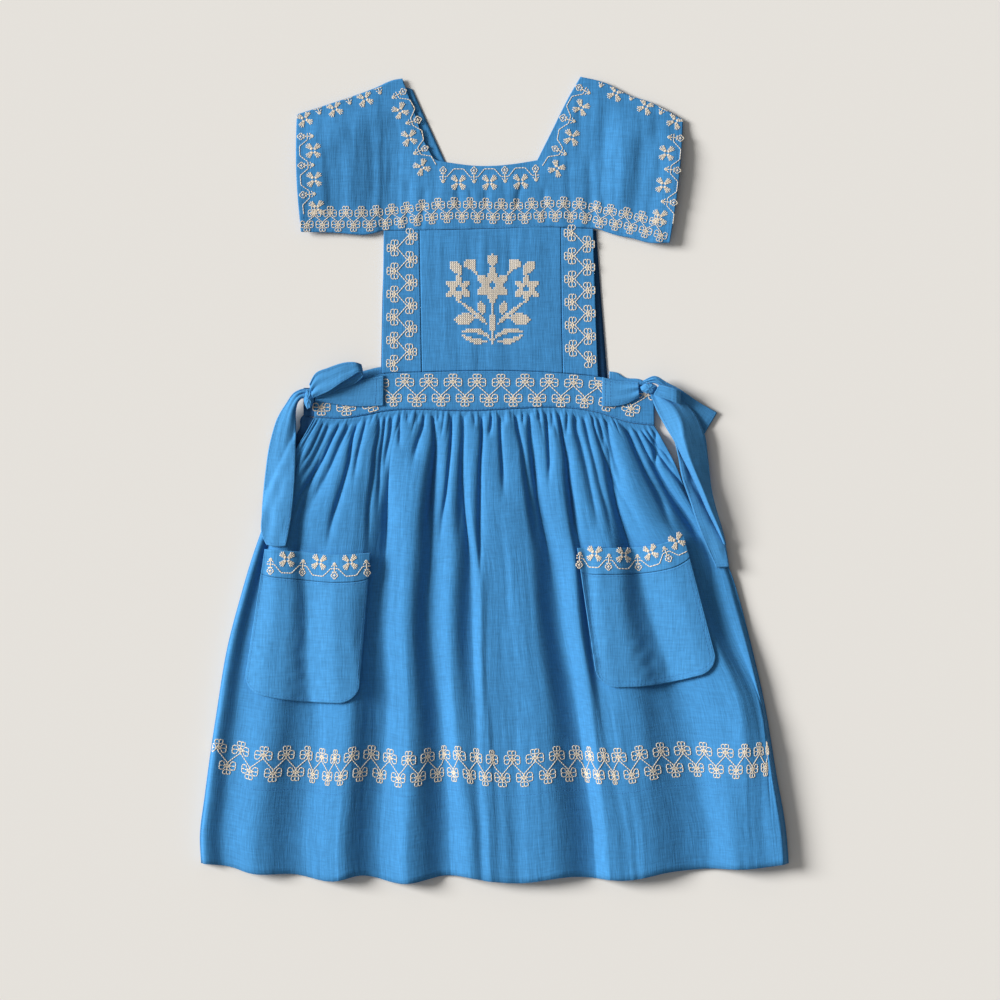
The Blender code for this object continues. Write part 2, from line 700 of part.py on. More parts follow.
def skirt_columns():
    """Columns of the skirt as (side of a fold, share over it), an even count over each side."""
    columns = []
    for segment, width in enumerate(np.diff(waist_shares())):
        count = 2 * max(2, round(width * SKIRT_COLUMNS))
        columns += [(segment, step / count) for step in range(count)]
    return columns + [(2 * len(FOLDS) - 1, 1.0)]


def make_skirt():
    """Front skirt with fine columns at the gathers and half as many below, and the flat back."""
    levels = np.array([0, 0.03, 0.07, 0.12, 0.18, 0.26, 0.36, 0.48, 0.61, 0.74, 0.87, 1.0])
    gathered = 6
    fine = np.array([skirt_column(segment, t, levels) for segment, t in skirt_columns()])
    points, faces, starts = [], [], []
    for row in range(len(levels)):
        step = 1 if row < gathered else 2
        starts.append((len(points), step))
        points.extend(fine[::step, row])
    cells = (len(fine) - 1) // 2
    for (upper, upper_step), (lower, lower_step) in zip(starts, starts[1:]):
        parts = lower_step // upper_step
        for c in range(cells * 2 // lower_step):
            ahead = [upper + c * parts + i for i in range(parts, -1, -1)]
            faces.append((lower + c, lower + c + 1, *ahead))
    cloth("front_skirt", points, faces)
    down = np.linspace(0.16, 1, 13)
    left = [tuple(p) for p in skirt_point(0.0, down)[:, :2] + (0.8, 0)]
    right = [tuple(p) for p in skirt_point(1.0, down)[::-1, :2] + (-0.8, 0)]
    hem = [tuple(p) for p in skirt_point(np.linspace(0.04, 0.96, 23), 1.0)[:, :2] + (0, 2.0)]
    top = [(x, float(seam_y(WAIST_LOWER, x)) + 2.0) for x in np.linspace(120, -140, 11)]
    slab("back_skirt", BACK_SKIRT_LEFT + left + hem + right + BACK_SKIRT_RIGHT[::-1] + top, 0, BACK_TOP)


# Pockets

def pocket_plan(pocket, across, down):
    """Plan points of a pocket with rounded lower corners, for shares across and down it."""
    top = along(pocket["top"], across)
    bottom = along(pocket["bottom"], across)
    width = np.linalg.norm(bottom[-1] - bottom[0])
    side = np.minimum(np.minimum(across, 1 - across) * width, POCKET_CORNER)
    short = POCKET_CORNER - np.sqrt(POCKET_CORNER**2 - (POCKET_CORNER - side) ** 2)
    length = np.linalg.norm(bottom - top, axis=1)
    return between(top, bottom + (top - bottom) * (short / length)[:, None], down)


def make_pocket(pocket):
    across = np.array([0, 0.03, 0.09, 0.2, 0.35, 0.5, 0.65, 0.8, 0.91, 0.97, 1.0])
    length = abs(pocket["bottom"][1][1] - pocket["top"][1][1])
    seam = pocket["band"] / length
    gap = SEAM / 2 / length
    parts = (
        ("pocket_band_", np.linspace(0, seam - gap, 3)),
        ("pocket_", np.linspace(seam + gap, 1, 9)),
    )
    for name, down in parts:
        plan = pocket_plan(pocket, across, down)
        height = cover(plan[..., 0], plan[..., 1]) + LAYER
        wall(name + pocket["side"], raised(plan, height))


# Bows

def make_ribbon(ribbon):
    """Tie that runs through the rows of points of its table."""
    stations = np.array(ribbon["stations"], float)
    steps = np.linalg.norm(np.diff(stations, axis=0), axis=2).mean(axis=1)
    lengths = np.r_[0, np.cumsum(steps)] / steps.sum()
    rows = hermite(lengths, stations.reshape(len(stations), -1), np.linspace(0, 1, ribbon["rows"]))
    rows = rows.reshape(ribbon["rows"], *stations.shape[1:])
    marks = np.linspace(0, 1, stations.shape[1])
    across = np.linspace(0, 1, ribbon["columns"])
    middle = np.array([hermite(marks, row, across) for row in rows])
    if ribbon["clearance"]:
        over = cover(middle[..., 0], middle[..., 1]) + ribbon["clearance"]
        middle[..., 2] = np.maximum(middle[..., 2], over)
    wall(ribbon["name"], middle, TIE_BLUE)


def make_knot(knot):
    """Round bundle of cloth with a waist where the tie is pulled tight round it."""
    turns, rings = 16, 9
    middle, half = np.array(knot["middle"]), np.array(knot["half"])
    points = [middle + half * (0, 0, 1)]
    for ring in range(1, rings):
        polar = math.pi * ring / rings
        for turn in range(turns):
            angle = 2 * math.pi * turn / turns
            lump = 1 - 0.06 * (1 + math.cos(3 * angle)) / 2
            spot = (math.sin(polar) * math.cos(angle), math.sin(polar) * math.sin(angle), math.cos(polar))
            points.append(middle + half * spot * lump)
    points.append(middle - half * (0, 0, 1))
    last = len(points) - 1
    faces = []
    for turn in range(turns):
        after = (turn + 1) % turns
        faces.append((0, 1 + turn, 1 + after))
        for ring in range(rings - 2):
            a = 1 + ring * turns
            faces.append((a + turn, a + turns + turn, a + turns + after, a + after))
        bottom = 1 + (rings - 2) * turns
        faces.append((last, bottom + after, bottom + turn))
    add_object(knot["name"], points, faces, TIE_BLUE)


def clear_scene():
    for obj in list(bpy.data.objects):
        bpy.data.objects.remove(obj, do_unlink=True)


def main():
    clear_scene()
    make_yoke()
    make_bib()
    make_waistband()
    make_skirt()
    for pocket in POCKETS:
        make_pocket(pocket)
    for ribbon in RIBBONS:
        make_ribbon(ribbon)
    for knot in KNOTS:
        make_knot(knot)
    for tie in BACK_TIES:
        slab(tie["name"], tie["outline"], 0, BACK_TOP, TIE_BLUE)


main()
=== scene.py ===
"""Looks of the pinafore dress: thin cotton on the model's form, with its embroidery and sewing.

Z is up, Y runs from the hem to the shoulders and X from the left of the laid-out dress to its
right. Sizes in the tables are millimetres.
"""

import math

import bpy
import numpy as np
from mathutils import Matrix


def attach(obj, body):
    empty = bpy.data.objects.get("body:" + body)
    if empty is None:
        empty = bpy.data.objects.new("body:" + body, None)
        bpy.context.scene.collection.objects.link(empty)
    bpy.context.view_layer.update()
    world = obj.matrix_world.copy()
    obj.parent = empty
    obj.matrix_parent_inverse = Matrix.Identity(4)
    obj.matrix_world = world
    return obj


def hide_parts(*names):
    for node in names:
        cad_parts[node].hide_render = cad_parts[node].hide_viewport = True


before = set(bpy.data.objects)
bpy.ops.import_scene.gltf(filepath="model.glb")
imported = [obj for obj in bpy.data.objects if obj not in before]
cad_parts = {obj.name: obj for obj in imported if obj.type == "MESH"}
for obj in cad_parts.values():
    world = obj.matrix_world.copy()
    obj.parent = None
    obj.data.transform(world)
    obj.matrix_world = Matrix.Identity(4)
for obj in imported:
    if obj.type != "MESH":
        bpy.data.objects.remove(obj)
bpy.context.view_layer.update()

MM = 0.001


def table(columns, *rows):
    """Rows of a table as dicts, with the names of its columns."""
    return [dict(zip(columns.split(), row)) for row in rows]


# Driving dimensions, the same as the model's own
SEAM = 0.3
LAYER = 1.9
FRONT_MID = 2.5
WAISTBAND_MID = 3.7
VALLEY_MID = 2.5
POCKET_CORNER = 16.0
CUFF_BOW = 2.0

# Cloth and thread
COTTON = 0.8
BACK_MID = 0.5
THREAD_WIDTH = 1.12
THREAD_HEIGHT = 0.45
SEWING_WIDTH = 0.4
SEWING_HEIGHT = 0.14
SEWING_STITCH = 2.4
SEWING_GAP = 0.8
STITCH = 2.6

# Gathers of the front skirt: how high they puff up and how far down it, how many small ones there are
# and how deep, how much deeper the creases are than their table says and where they fade out, and the
# lowest that all of it presses the cloth
GATHER_LIFT = 4.2
GATHER_DOWN = 0.50
SMALL_GATHERS = 66
SMALL_DEPTH = 1.6
CREASE_DEEPER = 1.45
CREASE_FADE = (0.62, 0.45)
LOWEST_RELIEF = -0.35
SKIRT_LENGTH = 377

# Seam lines of the front, each a list of points from left to right.
YOKE_SEAM = [(-92, 204.2), (-50, 204.9), (-3.5, 206.0), (44, 207.3), (84, 205.8)]
WAIST_UPPER = [
    (-147.5, 80.5), (-118.5, 83), (-92.5, 87), (-59, 88.5),
    (56, 87.5), (86, 84.5), (107, 81), (131, 75.5),
]
WAIST_LOWER = [
    (-147.5, 51.5), (-122.5, 50.5), (-106, 53), (-90.5, 56),
    (-23.5, 56.5), (87.5, 54.5), (111, 47), (131, 44.5),
]

# Outline of the yoke with its sleeves, cut in one, in sections from the left cuff to the right.
# Under each stretch of the shoulder and neck edge lies a stretch of the lower edge.
YOKE_SECTIONS = table(
    "columns upper lower",
    (
        10, [(-162, 299.5), (-134, 308.5), (-98.5, 321), (-82, 328), (-75.5, 329)],
        [(-158.5, 203), (-134, 202.5), (-98.5, 202), (-92, 204.2)],
    ),
    (
        6, [(-75.5, 329), (-66, 302.5), (-55.5, 273.5), (-48, 262.5), (-40.5, 260.5)],
        [(-92, 204.2), (-70, 204.5), (-50, 204.9)],
    ),
    (
        7, [(-40.5, 260.5), (-15.5, 257.5), (0, 257.5), (16, 259), (35, 262)],
        [(-50, 204.9), (-3.5, 206), (44, 207.3)],
    ),
    (6, [(35, 262), (47, 286), (61.5, 315), (70.5, 330.5)], [(44, 207.3), (64, 206.8), (84, 205.8)]),
    (
        10, [(70.5, 330.5), (90.5, 325.5), (111, 315), (129, 309), (154.5, 295)],
        [(84, 205.8), (99.5, 200.5), (112, 198), (127, 194), (143.5, 194)],
    ),
)

# How the front of the yoke and sleeves stands up from the back: rounded lifts.
YOKE_LIFTS = table(
    "x y reach_x reach_y height",
    (-128, 255, 34, 42, 6),
    (-163, 240, 16, 55, 3),
    (112, 262, 30, 42, 6),
    (154, 250, 20, 60, 4),
    (135, 196, 22, 16, 3),
    (-20, 236, 45, 20, 1.6),
)

# Creases pressed into the lifted sleeves, from one plan point to another.
YOKE_CREASES = table(
    "start end width depth",
    ((-79, 308), (-83, 203), 7, 2.6),
    ((-100, 300), (-103, 215), 8, 1.8),
    ((-127, 285), (-126, 215), 9, 2),
    ((90, 308), (86, 214), 8, 2),
    ((124, 292), (114, 214), 9, 2.2),
)

# Edges of the bib: the seams between its panel and its bands, and the outer edges of the bands.
BIB_COLUMNS = {
    "outer left": {"top": -90.8, "middle": -91.5, "bottom": -92.5},
    "seam left": {"top": -61.5, "middle": -60.5, "bottom": -59.5},
    "seam right": {"top": 54.5, "middle": 55.0, "bottom": 56.0},
    "outer right": {"top": 81.0, "middle": 82.6, "bottom": 85.0},
}

# Side edges of the front skirt, from the waist to the hem, and its hem line, by shares of its size.
SKIRT_LEFT = [
    (0.0, -147.5), (0.035, -154.5), (0.066, -161.4), (0.16, -177.5), (0.253, -190.7), (0.324, -199.7),
    (0.40, -207.9), (0.51, -218.5), (0.656, -227.5), (0.846, -237.4), (0.943, -241.5), (1.0, -240.5),
]
SKIRT_RIGHT = [
    (0.0, 131), (0.05, 141), (0.092, 148.7), (0.136, 155), (0.20, 167), (0.33, 193), (0.40, 201),
    (0.48, 208.5), (0.63, 221), (0.79, 230.5), (0.93, 239), (1.0, 241.0),
]
SKIRT_HEM = [
    (0.0, -314), (0.055, -317.5), (0.08, -321.5), (0.16, -323), (0.225, -328.5), (0.27, -324),
    (0.345, -330.5), (0.42, -324), (0.50, -329), (0.535, -330), (0.63, -325), (0.73, -327.5),
    (0.80, -321), (0.86, -318.5), (0.93, -318.5), (1.0, -314),
]

# Large folds of the front skirt from left to right. Each row gives where its crest and the valley to
# the crest's right lie, as shares of the skirt's width at five levels down it, and their heights.
FOLD_LEVELS = (0.08, 0.23, 0.41, 0.62, 0.90)
FOLDS = table(
    "crest valley top floor hem",
    ((0.005, 0.005, 0.006, 0.006, 0.007), (0.021, 0.023, 0.03, 0.037, 0.041), 7.5, 2.5, 2.5),
    ((0.037, 0.039, 0.088, 0.099, 0.096), (0.071, 0.08, 0.13, 0.166, 0.174), 9.8, 3.2, 2.8),
    ((0.185, 0.211, 0.21, 0.238, 0.239), (0.259, 0.277, 0.285, 0.302, 0.301), 11.8, 2.5, 2.5),
    ((0.343, 0.339, 0.341, 0.354, 0.357), (0.375, 0.377, 0.377, 0.401, 0.421), 12, 2.5, 2.5),
    ((0.427, 0.43, 0.425, 0.435, 0.464), (0.446, 0.455, 0.461, 0.47, 0.479), 10.5, 4.5, 9.2),
    ((0.475, 0.473, 0.483, 0.486, 0.495), (0.499, 0.491, 0.499, 0.501, 0.512), 10.4, 9.5, 9.9),
    ((0.602, 0.586, 0.583, 0.595, 0.601), (0.631, 0.625, 0.629, 0.65, 0.67), 11.6, 2.5, 2.5),
    ((0.697, 0.682, 0.673, 0.683, 0.698), (0.723, 0.7, 0.691, 0.7, 0.727), 11, 6.5, 10.6),
    ((0.781, 0.766, 0.743, 0.751, 0.761), (0.828, 0.805, 0.802, 0.836, 0.861), 12, 2.5, 2.5),
    ((0.871, 0.875, 0.902, 0.941, 0.919), (0.929, 0.973, 0.952, 0.989, 0.973), 12, 2.8, 4),
    ((0.971, 0.986, 0.986, 0.994, 0.988), (1, 1, 1, 1, 1), 5, 2.5, 2.5),
)

# How far down the skirt the folds take to rise, how sharply their sides rise and fall near the waist,
# and where they turn into round waves and then into the hem's own folds, as a share down the skirt
# and the length of the change. Then the lift of the hem's right corner and where it sets in, across
# and down the skirt, and how near the skirt's side edges the folds die out.
FOLD_RISE = 0.24
FOLD_SHARPNESS = {"rise": 0.7, "fall": 2.3}
ROUND_FOLDS = (0.18, 0.27)
HEM_FOLDS = (0.45, 0.3)
HEM_CORNER = 8.0
CORNER_ACROSS = (0.92, 0.06)
CORNER_DOWN = (0.35, 0.4)
EDGE_LEFT = 0.007
EDGE_RIGHT = 0.010

# Corners of the patch pockets, with the wave in the top edge of the right one.
POCKETS = table(
    "side top bottom band",
    (
        "left", [(-188, -56.5), (-160, -58.5), (-128, -61), (-101.5, -59.5)],
        [(-206, -173.5), (-165, -180.5), (-111.5, -183)], 23,
    ),
    (
        "right", [(67.5, -55.5), (100, -55.5), (122, -54.5), (140, -51), (154.5, -44.5)],
        [(84.5, -170), (130, -168), (184, -156)], 21.5,
    ),
)

# Ribbons of the bows: rows of points across the tie, from where it starts to where it ends. Where a
# ribbon lies over the skirt it keeps this clearance from it.
RIBBONS = table(
    "name rows columns clearance stations",
    (
        "tie_left_strap", 9, 5, 0,
        [
            [(-90.6, 85.7, 5.3), (-90.6, 73, 5.3), (-90.6, 60.8, 5.3)],
            [(-108.7, 82, 5.3), (-111, 71, 5.8), (-113, 60.3, 5.3)],
            [(-126.7, 77, 5.6), (-128, 69.5, 6.4), (-129.5, 62, 5.6)],
            [(-146.8, 69.8, 6.2), (-146.8, 67.3, 7), (-146.8, 64.8, 6.2)],
        ],
    ),
    (
        "tie_left_loop", 19, 5, 0,
        [
            [(-146.2, 78, 9.1), (-146.2, 66.2, 9.1)], [(-135, 86, 8.9), (-136.1, 69.8, 8.9)],
            [(-122, 91, 8.9), (-125.7, 75, 8.9)], [(-112.5, 93, 9.2), (-112, 80.5, 9.2)],
            [(-109, 94.4, 11.4), (-107.6, 85.3, 11.4)], [(-111.5, 95.6, 13.4), (-109.6, 87.8, 13.4)],
            [(-119, 96.4, 14.2), (-120, 82.4, 14.2)], [(-136.1, 91.7, 15.2), (-136.1, 72.2, 15.2)],
            [(-146.5, 87, 14.6), (-143.5, 69, 14.4)], [(-151.5, 78, 13.4), (-148.7, 66.9, 13.2)],
        ],
    ),
    (
        "tie_left_tail", 19, 5, 1.7,
        [
            [(-156.9, 74.2, 8), (-157.1, 70.5, 9), (-157.1, 66.6, 8)],
            [(-163.5, 71.6, 7.6), (-161.5, 67.5, 10), (-160.2, 64, 8.6)],
            [(-170.5, 62.5, 6.6), (-166, 60, 9.6), (-162.2, 57.5, 7.6)],
            [(-177.8, 50.5, 5.4), (-170, 47.5, 8.4), (-162.5, 45, 6.4)],
            [(-183.3, 33, 5), (-173, 31.8, 7.6), (-162.5, 31, 6)],
            [(-188, 3, 5.2), (-176, 2, 7.6), (-163.2, 1, 7)],
            [(-190.3, -26, 5.4), (-178, -28, 8), (-165.5, -27, 7)],
            [(-189.5, -47, 5.4), (-179.5, -49, 8), (-169.2, -48.5, 7)],
            [(-186.5, -53, 5), (-178.5, -54.6, 6.6), (-170.6, -54, 6)],
        ],
    ),
    (
        "tie_right_strap", 8, 5, 0,
        [
            [(88.3, 84.4, 5.3), (88.3, 72, 5.4), (88.3, 60.2, 5.3)],
            [(100, 81.2, 5.3), (100, 71, 6), (99.5, 60.4, 5.3)],
            [(110, 80.8, 5.4), (110, 72.5, 6.6), (110, 62.8, 5.4)],
            [(118, 79.6, 6), (118.2, 74.4, 7.2), (118.8, 67.5, 6)],
        ],
    ),
    (
        "tie_right_flap", 13, 4, 0,
        [
            [(121.5, 81, 8.2), (124.5, 79.7, 8.4)], [(130.8, 84.8, 8.2), (133.2, 78.4, 8.4)],
            [(141, 79.8, 7.6), (140, 70.6, 7)], [(151.8, 74.2, 7.4), (148, 63, 6.8)],
            [(166.2, 64.5, 7.4), (158, 51, 6.5)], [(182.6, 55.2, 8.6), (171.6, 37.2, 7.4)],
        ],
    ),
    (
        "tie_right_loop", 17, 4, 0,
        [
            [(136, 77, 10.9), (134, 69, 10.9)], [(143, 75.4, 11.1), (142.5, 65.4, 11.1)],
            [(149, 73.8, 11.6), (149.2, 62.6, 11.6)], [(151.6, 73, 13.6), (152, 61.8, 13.6)],
            [(149.6, 73.8, 15.4), (149.8, 62.4, 15.4)], [(143, 75.8, 16.2), (142.5, 65.2, 16.2)],
            [(134.6, 77.8, 14.8), (130, 69.8, 14.6)],
        ],
    ),
    (
        "tie_right_tail_upper", 21, 5, 4.4,
        [
            [(127.8, 69.9, 7.6), (134, 70.4, 8.4), (139.6, 70.6, 8.8)],
            [(132.3, 57.6, 6.8), (145.5, 60.5, 9.4), (152, 66.5, 8.8)],
            [(139.8, 43.8, 6.4), (152, 48, 12.5), (163.5, 55.5, 10.2)],
            [(147.4, 31.2, 6.6), (154.8, 33, 13.5), (172, 37, 10.6)],
            [(153.7, 18.7, 8.6), (159, 19.2, 13.5), (174.6, 18.5, 10)],
            [(166.2, -6.4, 9), (169.6, -6.4, 12), (177.6, -8, 9.6)],
            [(173.8, -24, 9), (177, -24.6, 11), (182, -26, 9)],
            [(182.5, -41.6, 8), (184.6, -42.2, 9.4), (187.2, -43.4, 8)],
            [(187.6, -52.4, 7.6), (188.6, -52.8, 8.2), (189.6, -53.2, 7.6)],
        ],
    ),
    (
        "tie_right_tail_lower", 19, 4, 1.5,
        [
            [(136, 62.5, 4), (145, 64, 4)], [(141.5, 49, 4.2), (154, 51, 4.2)],
            [(148.2, 29.8, 4.2), (164, 32, 4.4)], [(154, -0.2, 5), (172, 2, 5)],
            [(158.7, -13.9, 5), (177, -11, 5)], [(168.1, -41.6, 5), (185, -38, 5)],
            [(173.8, -55.4, 5), (189.2, -54.5, 5)], [(181.6, -71.8, 5), (192, -71.1, 5)],
        ],
    ),
)

KNOTS = table(
    "name middle half",
    ("tie_left_knot", (-152, 66.5, 7.5), (4.2, 8.4, 4.2)),
    ("tie_right_knot", (126.6, 75, 8.6), (7.2, 4.4, 3.8)),
)

def hermite(knots, values, at):
    """Smooth curve through values at knots, read at each of at."""
    knots = np.asarray(knots, float)
    values = np.asarray(values, float)
    slopes = np.gradient(values, knots, axis=0)
    at = np.clip(np.asarray(at, float), knots[0], knots[-1])
    i = np.clip(np.searchsorted(knots, at, side="right") - 1, 0, len(knots) - 2)
    span = knots[i + 1] - knots[i]
    t = (at - knots[i]) / span
    if values.ndim > 1:
        span, t = span[..., None], t[..., None]
    rise = values[i + 1] - values[i]
    hump = t * (1 - t) * span * ((1 - t) * (slopes[i] - rise / span) - t * (slopes[i + 1] - rise / span))
    return values[i] + rise * t + hump


def along(points, shares):
    """Points on the smooth line through points, at shares of its length."""
    points = np.asarray(points, float)
    lengths = np.r_[0, np.cumsum(np.linalg.norm(np.diff(points, axis=0), axis=1))]
    return hermite(lengths / lengths[-1], points, shares)


def smoothstep(t):
    t = np.clip(t, 0, 1)
    return t * t * (3 - 2 * t)


def change(at, span):
    """Share of a change that is done, which starts at a place and takes a length."""
    start, length = span
    return smoothstep((at - start) / length)


def unit_normals(middle):
    """Directions straight out of a grid of points, one for each."""
    normal = np.cross(np.gradient(middle, axis=0), np.gradient(middle, axis=1))
    return normal / np.maximum(np.linalg.norm(normal, axis=2, keepdims=True), 1e-9)


def read_grid(grid, row, column):
    """Values of a grid between its rows and columns, weighed by how near each one is."""
    rows, columns = grid.shape[:2]
    i, j = np.minimum(row.astype(int), rows - 2), np.minimum(column.astype(int), columns - 2)
    s, t = row - i, column - j
    if grid.ndim > 2:
        s, t = s[..., None], t[..., None]
    near = grid[i, j] * (1 - t) + grid[i, j + 1] * t
    far = grid[i + 1, j] * (1 - t) + grid[i + 1, j + 1] * t
    return near * (1 - s) + far * s


def noise(x, y, seed=0.0):
    """Smooth random lumps between -1 and 1, about one for each unit of x and y."""

    def lattice(i, j):
        spot = np.sin(i * 127.1 + j * 311.7 + seed * 74.7) * 43758.5453
        return 2 * (spot - np.floor(spot)) - 1

    x, y = np.broadcast_arrays(np.asarray(x, float), np.asarray(y, float))
    i, j = np.floor(x), np.floor(y)
    s, t = smoothstep(x - i), smoothstep(y - j)
    near = lattice(i, j) * (1 - s) + lattice(i + 1, j) * s
    far = lattice(i, j + 1) * (1 - s) + lattice(i + 1, j + 1) * s
    return near * (1 - t) + far * t


# Materials

def linked(tree, kind, inputs, **settings):
    """New node with its inputs set to these values or linked to these sockets."""
    node = tree.nodes.new(kind)
    for name, value in settings.items():
        setattr(node, name, value)
    for name, value in inputs.items():
        socket = node.inputs[name]
        if isinstance(value, bpy.types.NodeSocket):
            tree.links.new(value, socket)
        else:
            socket.default_value = value
    return node


def streaks(tree, cut, width, length, seed):
    """Noise stretched along the cloth's threads, this many metres wide and long."""
    finer = (1 / width, 1 / length, 1)
    scale = linked(tree, "ShaderNodeVectorMath", {0: cut, 1: finer}, operation="MULTIPLY")
    shift = linked(tree, "ShaderNodeVectorMath", {0: scale.outputs[0], 1: (seed, seed * 0.7, seed)})
    inputs = {"Vector": shift.outputs[0], "Scale": 1.0, "Detail": 2.0, "Roughness": 0.6}
    return linked(tree, "ShaderNodeTexNoise", inputs).outputs["Fac"]


def maths(tree, operation, a, b):
    return linked(tree, "ShaderNodeMath", {0: a, 1: b}, operation=operation).outputs[0]


def new_material(name):
    made = bpy.data.materials.new(name)
    made.use_nodes = True
    return made, made.node_tree, made.node_tree.nodes["Principled BSDF"]


def finish_shader(tree, colour, spots, shades, height, strength, distance):
    """Joins a colour, shaded between two values by a noise, and a bump of this height to the shader."""
    shader = tree.nodes["Principled BSDF"]
    low, high = shades
    inputs = {"Value": spots, "From Min": 0.3, "From Max": 0.7, "To Min": low, "To Max": high}
    shade = linked(tree, "ShaderNodeMapRange", inputs)
    tone = linked(tree, "ShaderNodeHueSaturation", {"Color": colour, "Value": shade.outputs[0]})
    tree.links.new(tone.outputs[0], shader.inputs["Base Color"])
    bump = linked(tree, "ShaderNodeBump", {"Height": height, "Strength": strength, "Distance": distance})
    tree.links.new(bump.outputs[0], shader.inputs["Normal"])


def cotton(name, colour, slub=1.7):
    """Plain-woven cotton: uneven threads both ways, faint cloudy shade and a soft sheen."""
    made, tree, shader = new_material(name)
    cut = linked(tree, "ShaderNodeUVMap", {}, uv_map="cloth").outputs[0]
    warp = streaks(tree, cut, 0.0013, 0.014, 3.1)
    weft = streaks(tree, cut, 0.012, 0.0012, 7.7)
    cloud = streaks(tree, cut, 0.045, 0.09, 1.3)
    threads = maths(tree, "ADD", maths(tree, "MULTIPLY", warp, 0.55), maths(tree, "MULTIPLY", weft, 0.45))
    dark = tuple(c * (1 - 0.30 * slub) for c in colour)
    light = tuple(min(1.0, c * (1 + 0.30 * slub)) for c in colour)
    weave = linked(tree, "ShaderNodeMix", {"Factor": threads}, data_type="RGBA")
    for socket in weave.inputs:
        if socket.type == "RGBA" and socket.name in "AB":
            socket.default_value = (*dark, 1) if socket.name == "A" else (*light, 1)
    finish_shader(tree, weave.outputs[2], cloud, (0.95, 1.05), threads, 0.75, 0.0006)
    shader.inputs["Roughness"].default_value = 0.82
    shader.inputs["Specular IOR Level"].default_value = 0.18
    shader.inputs["Sheen Weight"].default_value = 0.10
    shader.inputs["Sheen Roughness"].default_value = 0.45
    return made


def thread(name, colour, roughness):
    """Twisted embroidery or sewing thread, a little uneven along its length."""
    made, tree, shader = new_material(name)
    spot = linked(tree, "ShaderNodeTexCoord", {}).outputs["Object"]
    plies = linked(tree, "ShaderNodeTexNoise", {"Vector": spot, "Scale": 2200.0, "Detail": 2.0})
    plies = plies.outputs["Fac"]
    finish_shader(tree, (*colour, 1), plies, (0.86, 1.08), plies, 0.4, 0.0002)
    shader.inputs["Roughness"].default_value = roughness
    shader.inputs["Specular IOR Level"].default_value = 0.3
    return made


# Painted light: the pockets' cloth is the same blue cotton made a little lighter, standing in for the extra
# light that the pockets catch.
POCKET_CLOTH_PAINTED_LIGHT = cotton("blue_cotton_pockets_painted_light", (0.056, 0.262, 0.555))
CLOTH = cotton("blue_cotton", (0.048, 0.238, 0.515))
# Painted shade: a much darker blue for the upper side of the back pieces where they show at the side
# openings, standing in for the deep shade that falls there.
PAINTED_SHADE_CLOTH = cotton("blue_cotton_painted_shade", (0.015, 0.075, 0.19))
# Painted light: the ties' cloth is the same blue cotton made lighter. This stands in for the light that the
# tilted loops catch, and it lifts the strap out of the loop's shade. Its slub is also a little weaker.
TIE_CLOTH_PAINTED_LIGHT = cotton("blue_cotton_ties_painted_light", (0.062, 0.275, 0.575), 1.3)
CREAM = thread("cream_thread", (0.80, 0.70, 0.56), 0.6)
SEWING = thread("blue_thread", (0.05, 0.22, 0.50), 0.7)


# Cloth as thin closed shells

def flat_places(middle):
    """Where each point lies in the flat cloth: how far along the rows and down the columns."""
    across = np.linalg.norm(np.diff(middle, axis=1), axis=2).max(axis=0)
    down = np.linalg.norm(np.diff(middle, axis=0), axis=2).mean(axis=1)
    u, v = np.r_[0, np.cumsum(across)], np.r_[0, np.cumsum(down)]
    return np.stack(np.broadcast_arrays(u[None, :], v[:, None]), axis=-1)


def add_mesh(name, points, faces, material, places=None):
    mesh = bpy.data.meshes.new(name)
    mesh.from_pydata(points * MM, [], faces)
    mesh.shade_smooth()
    mesh.materials.append(material)
    if places is not None:
        layer = mesh.uv_layers.new(name="cloth")
        corners = np.empty(len(mesh.loops), dtype=np.int32)
        mesh.loops.foreach_get("vertex_index", corners)
        layer.data.foreach_set("uv", (places[corners] * MM).ravel())
    made = bpy.data.objects.new(name, mesh)
    bpy.context.scene.collection.objects.link(made)
    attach(made, "root")
    return made


def shell(name, node, middle, material=CLOTH, places=None, inside=None):
    """Thin closed shell in a node's place, round a grid of middle points, its rows running down and
    its columns across. Its upper side, the inside of the garment, may have a second material: a darker cloth
    that paints shade on it."""
    rows, columns = middle.shape[:2]
    normal = unit_normals(middle)
    places = flat_places(middle) if places is None else places
    points = np.concatenate([(middle + side * normal * COTTON / 2).reshape(-1, 3) for side in (1, -1)])
    count = rows * columns
    index = np.arange(count).reshape(rows, columns)
    a, b, c, d = index[:-1, :-1], index[1:, :-1], index[1:, 1:], index[:-1, 1:]
    top = np.stack([a, b, c, d], axis=-1).reshape(-1, 4)
    under = np.stack([a, d, c, b], axis=-1).reshape(-1, 4) + count
    ring = np.concatenate([index[:-1, 0], index[-1, :-1], index[:0:-1, -1], index[0, :0:-1]])
    after = np.roll(ring, -1)
    rim = np.stack([after, ring, ring + count, after + count], axis=-1)
    faces = np.concatenate([top, under, rim])
    made = add_mesh(name, points, faces, material, np.tile(places.reshape(-1, 2), (2, 1)))
    # The upper faces take the second material, the darker cloth with painted shade.
    if inside:
        made.data.materials.append(inside)
        slots = np.zeros(len(made.data.polygons), dtype=np.int32)
        slots[: len(top)] = 1
        made.data.polygons.foreach_set("material_index", slots)
    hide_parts(node)
    return made


def laid(name, node, plan, height, material=CLOTH, inside=None):
    """Shell over plan points, whose threads run as the plan's own directions do."""
    return shell(name, node, np.dstack([plan, height]), material, plan, inside)


def between(upper, lower, down):
    """Plan points from an upper line of points to a lower one, a row at each of these shares."""
    down = np.asarray(down, float)[:, None, None]
    return upper[None] * (1 - down) + lower[None] * down


def seam_y(seam, x):
    return hermite(*zip(*seam), x)


# Yoke and sleeves

# Columns of the cloth's mesh for each of the table's
YOKE_FINE = 7


